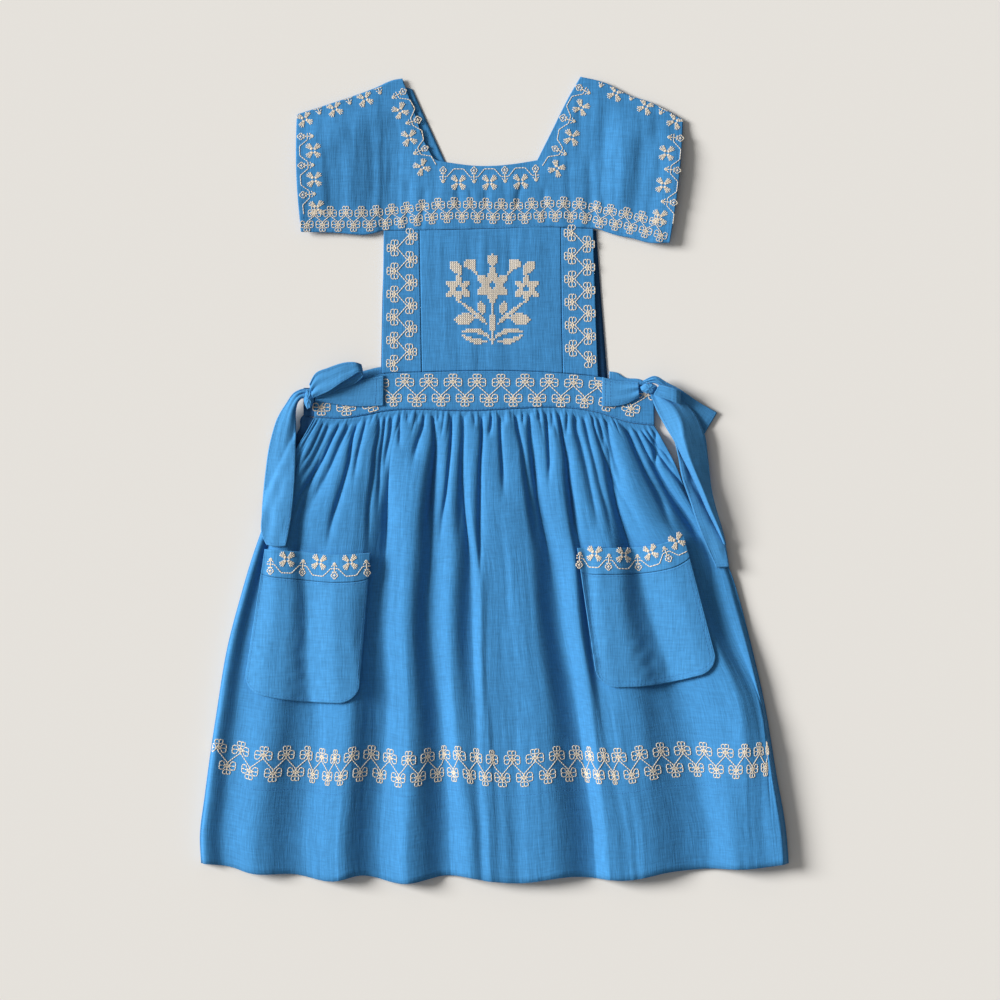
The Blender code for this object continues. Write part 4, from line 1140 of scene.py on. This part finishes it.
def make_knot(knot):
    """Bundle of cloth wound tight, with soft folds that run round it."""
    turns, rings = 72, 40
    middle, half = np.array(knot["middle"]), np.array(knot["half"]) * (KNOT_FULLER, KNOT_FULLER, 1)
    polar = np.linspace(0, math.pi, rings)[:, None]
    angle = np.linspace(0, 2 * math.pi, turns, endpoint=False)[None, :]
    fold = 1 - 0.10 * np.abs(np.sin(angle * 2 + polar * 2.4)) ** 0.5
    fold = fold - 0.06 * np.abs(np.sin(angle * 4 - polar * 1.5))
    fold = fold + 0.03 * noise(np.cos(angle) * 3, np.sin(angle) * 3 + polar * 2, 60)
    spot = (np.sin(polar) * np.cos(angle), np.sin(polar) * np.sin(angle), np.cos(polar))
    spot = np.stack(np.broadcast_arrays(*spot), -1)
    points = (middle + half * spot * fold[..., None]).reshape(-1, 3)
    index = np.arange(rings * turns).reshape(rings, turns)
    a, b = index[:-1], index[1:]
    faces = np.stack([a, b, np.roll(b, -1, 1), np.roll(a, -1, 1)], axis=-1).reshape(-1, 4)
    places = np.stack(np.broadcast_arrays(angle * 8, polar * 8), -1).reshape(-1, 2)
    made = add_mesh(knot["name"] + "_cloth", points, faces, TIE_CLOTH_PAINTED_LIGHT, places)
    weld = made.modifiers.new("poles", "WELD")
    weld.merge_threshold = 1e-6
    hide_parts(knot["name"])


# Upper and lower edges of the back's ties, which lie flat under the ends of the waistband
BACK_TIE_EDGES = {
    "tie_left_back": (
        [(-146, 75), (-126, 83.5), (-108.7, 89), (-94.2, 92.6), (-91.8, 93.0)],
        [(-146, 62), (-120, 60.5), (-94.2, 64), (-91.8, 64)],
    ),
    "tie_right_back": (
        [(94.2, 89.1), (100.9, 87.9), (106.6, 84.4), (119.7, 82.4), (127, 78.5)],
        [(94.2, 62), (127, 64)],
    ),
}


def make_back_ties():
    made = []
    for name, (upper, lower) in BACK_TIE_EDGES.items():
        x = np.linspace(upper[0][0], upper[-1][0], 40)
        edges = [np.column_stack([x, seam_y(edge, x)]) for edge in (upper, lower)]
        plan = between(*edges, np.linspace(0, 1, 12))
        height = BACK_MID + 0.3 * np.maximum(noise(plan[..., 0] / 40, plan[..., 1] / 6, 70), 0)
        made.append(shell(name + "_cloth", name, np.dstack([plan, height]), TIE_CLOTH_PAINTED_LIGHT))
    return made


# Stitches

# Where the rings of a stitch stand along it, how full it is there, and its section as places across
# and up it, in shares of half its width and of its height
STITCH_RINGS = (0.0, 0.16, 0.84, 1.0)
STITCH_BULGE = (0.5, 1.0, 1.0, 0.5)
STITCH_SECTION = ((-1, -0.6), (-0.5, 0.86), (0.5, 0.86), (1, -0.6))
SLOPE_REACH = 0.35


def stitch_mesh(name, place, strokes, width, height, material):
    """One mesh of raised stitches, from pairs of flat places and where those lie on the cloth."""
    shares = np.array(STITCH_RINGS)[None, :, None]
    bulge = np.array(STITCH_BULGE)[None, :, None]
    strokes = np.asarray(strokes, float).reshape(-1, 2, 2)
    spots = strokes[:, None, 0] * (1 - shares) + strokes[:, None, 1] * shares
    a, b = spots[..., 0], spots[..., 1]
    middle = place(a, b)
    slope_a = place(a + SLOPE_REACH, b) - place(a - SLOPE_REACH, b)
    slope_b = place(a, b + SLOPE_REACH) - place(a, b - SLOPE_REACH)
    normal = np.cross(slope_a, slope_b)
    normal *= np.where(normal[..., 2:] < 0, -1, 1)
    normal /= np.maximum(np.linalg.norm(normal, axis=-1, keepdims=True), 1e-9)
    side = np.cross(normal, middle[:, -1:] - middle[:, :1])
    side /= np.maximum(np.linalg.norm(side, axis=-1, keepdims=True), 1e-9)
    lines = [
        middle + side * x * width / 2 * bulge + normal * (COTTON / 2 + y * height * bulge)
        for x, y in STITCH_SECTION
    ]
    points = np.stack(lines, axis=2).reshape(-1, 3)
    rings, sides = len(STITCH_RINGS), len(STITCH_SECTION)
    index = np.arange(len(points)).reshape(len(strokes), rings, sides)
    a, b = index[:, :-1], index[:, 1:]
    around = np.stack([a, np.roll(a, -1, 2), np.roll(b, -1, 2), b], axis=-1).reshape(-1, sides)
    caps = np.concatenate([index[:, 0, ::-1], index[:, -1, :]])
    made = add_mesh(name, points, np.concatenate([around, caps]), material)
    return made


def sewn(points, gap):
    """Stitches of about the usual length along a line of places, with gaps between them."""
    strokes = []
    points = np.asarray(points, float)
    for start, end in zip(points, points[1:]):
        far = np.linalg.norm(end - start)
        number = max(1, math.ceil(far / STITCH - 0.2))
        cuts = np.linspace(0, 1, number + 1)
        keep = gap / max(far, 1e-6) / 2
        for a, b in zip(cuts, cuts[1:]):
            strokes.append((start + (end - start) * (a + keep), start + (end - start) * (b - keep)))
    return strokes


def seam_stitches(points):
    """Evenly spaced sewing stitches along a smooth line of places."""
    points = np.asarray(points, float)
    total = np.linalg.norm(np.diff(points, axis=0), axis=1).sum()
    number = max(1, round(total / (SEWING_STITCH + SEWING_GAP)))
    starts = np.arange(number) / number
    span = SEWING_STITCH / (SEWING_STITCH + SEWING_GAP) / number
    return np.stack([along(points, starts), along(points, starts + span)], axis=1)


def follow(path):
    """Turns (along, aside) places beside a line into plan places; aside is to the left of travel."""
    path = np.asarray(path, float)
    lengths = np.r_[0, np.cumsum(np.linalg.norm(np.diff(path, axis=0), axis=1))]

    def place(strokes):
        strokes = np.asarray(strokes, float)
        s, w = strokes[..., 0], strokes[..., 1]
        held = np.clip(s, 0, lengths[-1])
        here = hermite(lengths, path, held)
        ahead = hermite(lengths, path, np.clip(held + 0.5, 0, lengths[-1]))
        behind = hermite(lengths, path, np.clip(held - 0.5, 0, lengths[-1]))
        run = ahead - behind
        run /= np.linalg.norm(run, axis=-1, keepdims=True)
        left = np.stack([-run[..., 1], run[..., 0]], axis=-1)
        return here + run * (s - held)[..., None] + left * w[..., None]

    return place, lengths[-1]


# Motifs, as lines of points. A clover stands on a turn of its zigzag: x runs along the band and y
# away from the zigzag, both as shares of half the clover's width and of its height.
CLOVER = [
    [
        (0.20, 0.30), (0.46, 0.60), (0.88, 0.60), (1, 0.48), (1, 0.0), (0.88, -0.12), (0.52, -0.12),
        (0.20, 0.30),
    ],
    [(0.24, 0.28), (0.98, 0.24)],
    [(0, 0), (0.20, 0.30)],
    [(0.20, 0.30), (0, 0.50)],
    [(0, 0.62), (0.38, 0.66), (0.46, 0.76), (0.46, 0.96), (0.38, 1.0), (0, 1.0)],
]
CLOVER_STEM = [[(0, 0), (0, 0.45)], [(0, 0.45), (0, 1.0)]]

# A bud and a flower of the vines, in millimetres: x along the vine, y towards the cloth's edge.
BUD = [
    [(0, 2.4), (2.9, 5.4), (0, 8.6), (-2.9, 5.4), (0, 2.4)],
    [(0, 4.0), (0, 7.0)],
    [(-1.4, 5.4), (1.4, 5.4)],
    [(0, 2.4), (0, -5.4)],
    [(-2.1, 2.7), (2.1, 2.7)],
    [(-2.6, -1.6), (0, -3.6), (2.6, -1.6)],
    [(-1.5, -3.4), (0, -5.2), (1.5, -3.4)],
]
PETAL = [
    [(0.5, 0.9), (3.3, 6.3)], [(0.9, 0.9), (4.9, 6.0)], [(0.9, 0.6), (5.9, 4.6)], [(1.2, 0.3), (6.2, 3.2)],
    [(2.2, 5.2), (5.3, 2.2)],
]

# How far below the vine its flowers stand, and the vine's wave as shares of a repeat and heights
FLOWER_DROP = -4.6
VINE_WAVE = [(0.12, 0), (0.34, 6.6), (0.66, 6.6), (0.88, 0)]


def mirrored(lines):
    return [[(-x, y) for x, y in line] for line in lines]


def moved(lines, shift_x, shift_y, scale_x=1.0, scale_y=1.0):
    return [[(shift_x + x * scale_x, shift_y + y * scale_y) for x, y in line] for line in lines]


def stitched(lines):
    return np.array([stroke for line in lines for stroke in sewn(line, gap=0.12)])


def clover_band(length, pitch, swing, width, height, first=1, start=0.0):
    """Zigzag with a clover on each of its turns, along a line of this length."""
    clover = CLOVER + mirrored(CLOVER) + CLOVER_STEM
    number = int((length - start) // (pitch / 2)) + 1
    turns = [(start + i * pitch / 2, first * (1 if i % 2 == 0 else -1)) for i in range(number)]
    lines = [[(a, side * swing), (b, other * swing)] for (a, side), (b, other) in zip(turns, turns[1:])]
    for s, side in turns:
        lines += moved(clover, s, side * swing, width / 2, side * height)
    return stitched(lines)


def vine_band(length, repeats, first="bud"):
    """Wavy vine with buds in its dips and flowers under its rises, along a line of this length."""
    pitch = length / repeats
    shift = 0.0 if first == "bud" else -pitch / 2
    petals = PETAL + mirrored(PETAL)
    petals = petals + moved(petals, 0, 0, 1, -1)
    lines = []
    for i in range(math.ceil(repeats) + 1):
        bud = shift + i * pitch
        flower = bud + pitch / 2
        if -0.1 <= bud <= length + 0.1:
            lines += moved(BUD, bud, 0)
            lines.append([(bud - 0.12 * pitch, 0), (bud + 0.12 * pitch, 0)])
        if -0.1 <= flower <= length + 0.1:
            lines += moved(petals, flower, FLOWER_DROP)
        points = [(bud + share * pitch, y) for share, y in VINE_WAVE]
        inside = [p for p in points if -0.2 * pitch <= p[0] <= length + 0.2 * pitch]
        if len(inside) > 1:
            lines.append(inside)
    return stitched(lines)


# Lines that the vines follow, with the cloth's edge to their left
VINES = table(
    "path repeats first",
    ([(-79.5, 315.5), (-68.9, 296.7), (-62.3, 270.6), (-55.5, 258.5)], 2.5, "bud"),
    ([(-42, 248.3), (-17, 248.2), (9, 248.6), (34, 249.7)], 3, "bud"),
    ([(47.2, 257.5), (55.8, 271.4), (62.3, 297.3), (74, 319)], 2.5, "flower"),
    ([(-157, 300), (-144, 304.5), (-118.6, 312.9), (-95.1, 320.9)], 2.5, "flower"),
    ([(88.6, 326.4), (111.6, 316.5), (136.5, 304.7), (150, 298)], 2.5, "bud"),
    ([(-150, 222), (-151.3, 234.1), (-152.5, 257.5), (-153.1, 281.3)], 2.5, "flower"),
    ([(146.8, 280.2), (144.3, 253.9), (141.5, 227.3), (140, 214.5)], 2.5, "bud"),
)
POCKET_VINES = {
    "left": {
        "path": [(-104.5, -70.5), (-133.3, -72.6), (-157.2, -70.1), (-182.9, -68.9)],
        "repeats": 3,
        "first": "bud",
    },
    "right": {
        "path": [(151.0, -54.0), (139.5, -59.5), (122.2, -65.2), (96.8, -65.6), (69.6, -64)],
        "repeats": 3.5,
        "first": "flower",
    },
}

YOKE_BAND = [
    (-153.6, 213.8), (-122.6, 213.9), (-102.1, 214.1), (-89.8, 215.3), (-73.4, 217.1), (-61.1, 218.9),
    (-48.8, 220.3), (29.1, 220.6), (41.4, 221.7), (63.6, 221.2), (76.7, 219.9), (86.5, 216.9),
    (98.8, 214.8), (111.1, 212), (123.4, 208.9), (139, 204.6),
]
WAIST_BAND = [
    (-141.5, 66.2), (-122, 66), (-104, 68.5), (-92, 72.3), (-60, 73.4), (0, 73.4), (50, 73.2),
    (86, 71), (107, 66.5), (127, 62.5),
]
BIB_BANDS = {"left": [(-75.5, 199.5), (-76.0, 92.0)], "right": [(69.5, 202.5), (70.8, 92.0)]}


def on_yoke(x, y):
    """Places on the yoke, kept on its side of the shoulder edges."""
    shoulder = np.interp(x, *YOKE_EDGE[0].T)
    y = np.minimum(y, np.where((x < -75.5) | (x > 70.5), shoulder - 0.4, 400))
    return np.stack([x, y, yoke_height(x, y)], axis=-1)


def on(height):
    return lambda x, y: np.stack([x, y, height(x, y)], axis=-1)


def band_on(path, **sizes):
    place, length = follow(path)
    return place(clover_band(length, **sizes))


def vine_on(vine):
    place, length = follow(vine["path"])
    return place(vine_band(length, vine["repeats"], vine["first"]))


# Sprig on the bib, filled with cross stitches and alike on both sides of its stem. Each row is a shape
# of the right half: its place from the sprig's middle, half length, half width, turn in degrees, and
# the share of it left open inside.
SPRAY_MIDDLE = (-1.6, 147.5)
CROSS = 1.62
SPRAY = table(
    "form x y long wide turn open",
    ("flower", 0, 12.0, 14.2, 14.2, 90, 0.24),
    ("bud", 0, 33.0, 4.2, 4.4, 0, 0),
    ("leaf", 0, 27.0, 3.4, 1.4, 90, 0),
    ("leaf", 0, -19.0, 18.0, 1.9, 90, 0),
    ("flower", 28.0, 9.0, 10.6, 10.6, 90, 0.26),
    ("leaf", 14.5, -11.0, 15.5, 1.9, 40, 0),
    ("leaf", 22.5, -15.5, 9.6, 4.8, -8, 0),
    ("leaf", 8.8, -6.5, 5.6, 3.4, 78, 0),
    ("leaf", 13.6, -29.5, 13.0, 6.4, 12, 0.34),
    ("bud", 18.6, 29.8, 4.6, 4.2, 0, 0),
    ("leaf", 14.4, 23.4, 5.0, 1.4, 62, 0),
    ("leaf", 30.0, 26.5, 7.6, 4.2, 48, 0),
)


# Squares from the sprig's middle to its edge, petals of a flower, how square a bud is, and how far
# round a shape others are kept clear of it
HALF_SQUARES = 25
FLOWER_PETALS = 6
BUD_SQUARE = 2.6
SHAPE_GAP = 1.22
FAR_AWAY = 99


def spray_shapes():
    """Shapes of the sprig, with those that stand beside its stem mirrored to the left."""
    for shape in SPRAY:
        yield shape
        if shape["x"]:
            yield {**shape, "x": -shape["x"], "turn": 180 - shape["turn"]}


def spray_cells():
    """Squares of the cross-stitch grid that the spray fills, as places from its middle."""
    squares = np.arange(-HALF_SQUARES, HALF_SQUARES + 1)
    i, j = np.meshgrid(squares, squares)
    x, y = i * CROSS, j * CROSS
    filled = np.zeros(x.shape, bool)
    for shape in spray_shapes():
        turn = math.radians(shape["turn"])
        a = ((x - shape["x"]) * math.cos(turn) + (y - shape["y"]) * math.sin(turn)) / shape["long"]
        b = ((y - shape["y"]) * math.cos(turn) - (x - shape["x"]) * math.sin(turn)) / shape["wide"]
        if shape["form"] == "leaf":
            far = np.abs(b) / np.maximum(1 - a * a, 0.02) + np.maximum(np.abs(a) - 0.98, 0) * FAR_AWAY
        elif shape["form"] == "flower":
            far = np.hypot(a, b) / (0.82 + 0.22 * np.cos(FLOWER_PETALS * np.arctan2(b, a)))
        else:
            far = (np.abs(a) ** BUD_SQUARE + np.abs(b) ** BUD_SQUARE) ** (1 / BUD_SQUARE)
        near = (far < 1) & (far >= shape["open"])
        filled = (filled & ~((far < SHAPE_GAP) & (far >= 1))) | near
    return np.stack([x[filled], y[filled]], axis=-1)


def spray_stitches():
    cells = spray_cells() + SPRAY_MIDDLE
    arms = CROSS / 2 * 0.94 * np.array([(1, 1), (1, -1)])
    return np.concatenate([np.stack([cells - arm, cells + arm], axis=1) for arm in arms])


# How far the ends of the straps are from the middle, past which the clovers keep below the straps,
# the room that they keep from the waistband's upper edge there, and that elsewhere
STRAP_END = 90.5
STRAP_ROOM = 4.8
EDGE_ROOM = 0.6


# Where the hem's band of clovers and its sewing line run, as shares down the skirt
HEM_BAND = 0.762
HEM_SEWING = 0.818

# Sizes of the bands of clovers
CLOVER_BANDS = {
    "yoke": {"pitch": 12.75, "swing": 2.7, "width": 10.3, "height": 7.4, "first": -1},
    "bib": {"pitch": 18.9, "swing": 4.2, "width": 12.8, "height": 8.0},
    "waist": {"pitch": 19.7, "swing": 4.4, "width": 14.2, "height": 8.6, "first": -1},
    "hem": {"pitch": 20.6, "swing": 4.8, "width": 14.8, "height": 9.6, "start": 2.0},
}


def make_embroidery():
    pieces = {}

    def embroider(name, place, strokes, width=THREAD_WIDTH, height=THREAD_HEIGHT):
        pieces[name] = stitch_mesh(f"embroidery_{name}", place, strokes, width, height, CREAM)

    yoke = [vine_on(vine) for vine in VINES] + [band_on(YOKE_BAND, **CLOVER_BANDS["yoke"])]
    embroider("yoke", on_yoke, np.concatenate(yoke), 0.85 * THREAD_WIDTH)
    for side, path in BIB_BANDS.items():
        first = 1 if side == "left" else -1
        embroider(f"bib_{side}", on(band_height), band_on(path, first=first, **CLOVER_BANDS["bib"]))
    strokes = band_on(WAIST_BAND, **CLOVER_BANDS["waist"])
    x, y = strokes[..., 0], strokes[..., 1]
    room = np.where(np.abs(x) > STRAP_END, STRAP_ROOM, EDGE_ROOM)
    inside = (y < seam_y(WAIST_UPPER, x) - room) & (y > seam_y(WAIST_LOWER, x) + EDGE_ROOM)
    embroider("waist", on(waist_height), strokes[inside.all(axis=1)])
    embroider("spray", on(bib_height), spray_stitches(), 0.82, 0.36)
    for side, vine in POCKET_VINES.items():
        embroider(f"pocket_{side}", on(lambda x, y: pocket_height(x, y) + POCKET_BAND_LIFT), vine_on(vine))
    band = clover_band(SKIRT.width - 31, **CLOVER_BANDS["hem"])
    band[..., 0] += 8
    band[..., 1] = SKIRT.length * HEM_BAND - band[..., 1]
    embroider("hem", SKIRT.at, band)
    return pieces


# Sewing lines

def bib_line(name, shift):
    """Line beside a seam of the bib, which stops short of its ends."""
    down = np.linspace(0, 1, 12)
    x = bib_edge(name, down) + shift
    top, bottom = seam_y(YOKE_SEAM, x) - 3.0, seam_y(WAIST_UPPER, x) + 3.0
    return np.column_stack([x, top * (1 - down) + bottom * down])


def pocket_lines(pocket):
    """Sewing round a pocket, twice on the right one, and under its band."""
    length = abs(pocket["bottom"][1][1] - pocket["top"][1][1])
    width = np.linalg.norm(np.subtract(pocket["bottom"][-1], pocket["bottom"][0]))
    mouth = (pocket["band"] + 1.6) / length
    insets = (2.2,) if pocket["side"] == "left" else (1.8, 4.6)
    lines = [pocket_plan(pocket, np.linspace(0, 1, 30), np.array([mouth]))[0, 1:-1]]
    for inset in insets:
        a, b = inset / width, inset / length
        across = np.r_[0, np.linspace(a, 1 - a, 60), 1]
        plan = pocket_plan(pocket, across, np.linspace(mouth, 1 - b, 30))
        lines.append(np.concatenate([plan[:-1, 1], plan[-1, 1:-1], plan[-2::-1, -2]]))
    return lines


def tie_lines(name, panel):
    """Sewing along a tie's edges, across the sewn end of a strap and the free end of a tail or flap."""
    edge, across, down = 2.0, panel.width, panel.length
    lines = [[(x, 3), (x, down - 3)] for x in (edge, across - edge)]
    if name.endswith("strap"):
        lines += [[(1, y), (across - 1, y)] for y in (2.4, 6.6)]
    if "tail" in name or name.endswith("flap"):
        lines.append([(edge, down - 2.4), (across - edge, down - 2.4)])
    return lines


def make_sewing():
    pieces = {}

    def sew(name, place, *lines):
        strokes = np.concatenate([seam_stitches(line) for line in lines])
        pieces[name] = stitch_mesh(f"sewing_{name}", place, strokes, SEWING_WIDTH, SEWING_HEIGHT, SEWING)

    x = np.linspace(-145, 129, 40)
    edges = ((WAIST_LOWER, 1.4), (WAIST_UPPER, -1.4))
    sew("waist", on(waist_height), *[np.column_stack([x, seam_y(seam, x) + shift]) for seam, shift in edges])
    sew("bib_left", on(band_height), bib_line("seam left", -1.2))
    sew("bib_right", on(band_height), bib_line("seam right", 1.2))
    x = np.linspace(-88, 82, 30)
    plan = yoke_plan(np.linspace(0, 1, 30))
    hems = [section + (0, 2.6) for section in (plan[-1, 3:70:6], plan[-1, -68:-3:6])]
    seam = np.column_stack([x, seam_y(YOKE_SEAM, x) + 1.4])
    sew("yoke", on_yoke, seam, plan[1:-1, 3], plan[1:-1, -4], *hems)
    for pocket in POCKETS:
        sew(f"pocket_{pocket['side']}", on(pocket_height), *pocket_lines(pocket))
    for name, panel in TIE_PANELS.items():
        sew(name, panel.at, *tie_lines(name, panel))
    u = np.linspace(4, SKIRT.width - 4, 200)
    sew("hem", SKIRT.at, np.column_stack([u, np.full(u.shape, SKIRT.length * HEM_SEWING)]))
    return pieces


# Sheets: the width and length in millimetres that each piece was cut to, the share of that rectangle
# which the cut fills, how it lies and on what, and the name of the stitches worked on it.
SHEETS = table(
    "piece flat fills held on sewn",
    ("yoke_front", (320, 138), 0.67, "laid", "back_yoke", "yoke"),
    ("yoke_back", (315, 135), 0.67, "laid", "floor", None),
    ("bib_cloth", (118, 119), 1, "laid", "back_bib", "spray"),
    ("bib_edging_left", (32, 118), 1, "laid", "back_bib", "bib_left"),
    ("bib_edging_right", (29, 120), 1, "laid", "back_bib", "bib_right"),
    ("bodice_back", (186, 122), 1, "laid", "floor", None),
    ("waistband_front", (280, 32), 1, "laid", "back_waistband", "waist"),
    ("waistband_back", (288, 30), 1, "laid", "back_skirt", None),
    ("skirt_front", (510, 392), 0.92, "gathered", "back_skirt", "hem"),
    ("skirt_back", (490, 390), 0.85, "gathered", "floor", None),
    ("pocket_edging_left", (89, 24), 1, "laid", "front_skirt", "pocket_left"),
    ("pocket_edging_right", (92, 23), 1, "laid", "front_skirt", "pocket_right"),
    ("pocket_cloth_left", (90, 106), 1, "laid", "front_skirt", None),
    ("pocket_cloth_right", (94, 99), 1, "laid", "front_skirt", None),
    ("tie_left_strap_cloth", (24.5, 56), 1, "laid", "front_waistband", "tie_left_strap"),
    ("tie_left_loop_cloth", (22, 82), 0.9, "folded", "tie_left_strap", "tie_left_loop"),
    ("tie_left_tail_cloth", (24.5, 132), 1, "laid", "front_skirt", "tie_left_tail"),
    ("tie_left_back_cloth", (30, 54), 1, "laid", "floor", None),
    ("tie_right_strap_cloth", (24.5, 31), 1, "laid", "front_waistband", "tie_right_strap"),
    ("tie_right_flap_cloth", (20, 66), 0.9, "laid", "floor", "tie_right_flap"),
    ("tie_right_loop_cloth", (14, 42), 1, "folded", "tie_right_flap", "tie_right_loop"),
    (
        "tie_right_tail_upper_cloth", (24, 135), 1, "laid", "tie_right_tail_lower",
        "tie_right_tail_upper",
    ),
    ("tie_right_tail_lower_cloth", (19, 146), 1, "laid", "front_skirt", "tie_right_tail_lower"),
    ("tie_right_back_cloth", (26, 33), 1, "laid", "floor", None),
)


def declare_sheets(embroidery, sewing):
    for sheet in SHEETS:
        width, length = (size * MM for size in sheet["flat"])


def make_scene():
    pieces = [*make_yoke(), *make_bib(), *make_waistband(), *make_skirt()]
    for pocket in POCKETS:
        pieces += make_pocket(pocket)
    pieces += [make_ribbon(ribbon) for ribbon in RIBBONS] + make_back_ties()
    for knot in KNOTS:
        make_knot(knot)
    declare_sheets(make_embroidery(), make_sewing())


# Studio

PAPER = (0.80, 0.775, 0.735)
FLOOR_REACH = 6.0

# Millimetres to a pixel of the photo's frame, the frame's middle, and how high the camera stands
PIXEL = 0.82
FRAME_PIXELS = 1000
FRAME_MIDDLE = (4.5, -16.4)
CAMERA_HEIGHT = 4000.0
SENSOR = 36

# Light of the sky, stronger from the left by as much as it is weaker from the right, and the window
SKY = 0.27
SKY_LEAN = 0.24
WINDOW = {"energy": 4.92, "spread": 24, "elevation": 27, "azimuth": 164}


def make_studio():
    mesh = bpy.data.meshes.new("floor")
    corners = [(-1, -1), (1, -1), (1, 1), (-1, 1)]
    mesh.from_pydata([(x * FLOOR_REACH, y * FLOOR_REACH, 0) for x, y in corners], [], [(0, 1, 2, 3)])
    floor = bpy.data.objects.new("floor", mesh)
    bpy.context.scene.collection.objects.link(floor)
    paper, _, shader = new_material("paper")
    shader.inputs["Base Color"].default_value = (*PAPER, 1)
    shader.inputs["Roughness"].default_value = 1.0
    shader.inputs["Specular IOR Level"].default_value = 0.0
    mesh.materials.append(paper)

    world = bpy.data.worlds.new("studio")
    world.use_nodes = True
    tree = world.node_tree
    sky = tree.nodes["Background"]
    sky.inputs["Color"].default_value = (1.0, 0.995, 0.99, 1)
    toward = linked(tree, "ShaderNodeTexCoord", {}).outputs["Generated"]
    sideways = linked(tree, "ShaderNodeSeparateXYZ", {"Vector": toward}).outputs["X"]
    strength = linked(
        tree, "ShaderNodeMapRange",
        {"Value": sideways, "From Min": -1.0, "To Min": SKY + SKY_LEAN, "To Max": SKY - SKY_LEAN},
    )
    tree.links.new(strength.outputs[0], sky.inputs["Strength"])
    bpy.context.scene.world = world

    lamp = bpy.data.lights.new("window", "SUN")
    lamp.energy = WINDOW["energy"]
    lamp.angle = math.radians(WINDOW["spread"])
    lamp.color = (1.0, 0.995, 0.985)
    window = bpy.data.objects.new("window", lamp)
    elevation, azimuth = math.radians(WINDOW["elevation"]), math.radians(WINDOW["azimuth"])
    window.rotation_euler = (math.pi / 2 - elevation, 0, azimuth + math.pi / 2)
    bpy.context.scene.collection.objects.link(window)

    lens = bpy.data.cameras.new("camera")
    lens.sensor_width = SENSOR
    lens.lens = SENSOR * CAMERA_HEIGHT / (PIXEL * FRAME_PIXELS)
    camera = bpy.data.objects.new("camera", lens)
    camera.location = (FRAME_MIDDLE[0] * MM, FRAME_MIDDLE[1] * MM, CAMERA_HEIGHT * MM)
    bpy.context.scene.collection.objects.link(camera)
    bpy.context.scene.camera = camera
    bpy.context.scene.view_settings.view_transform = "Standard"


make_studio()
make_scene()
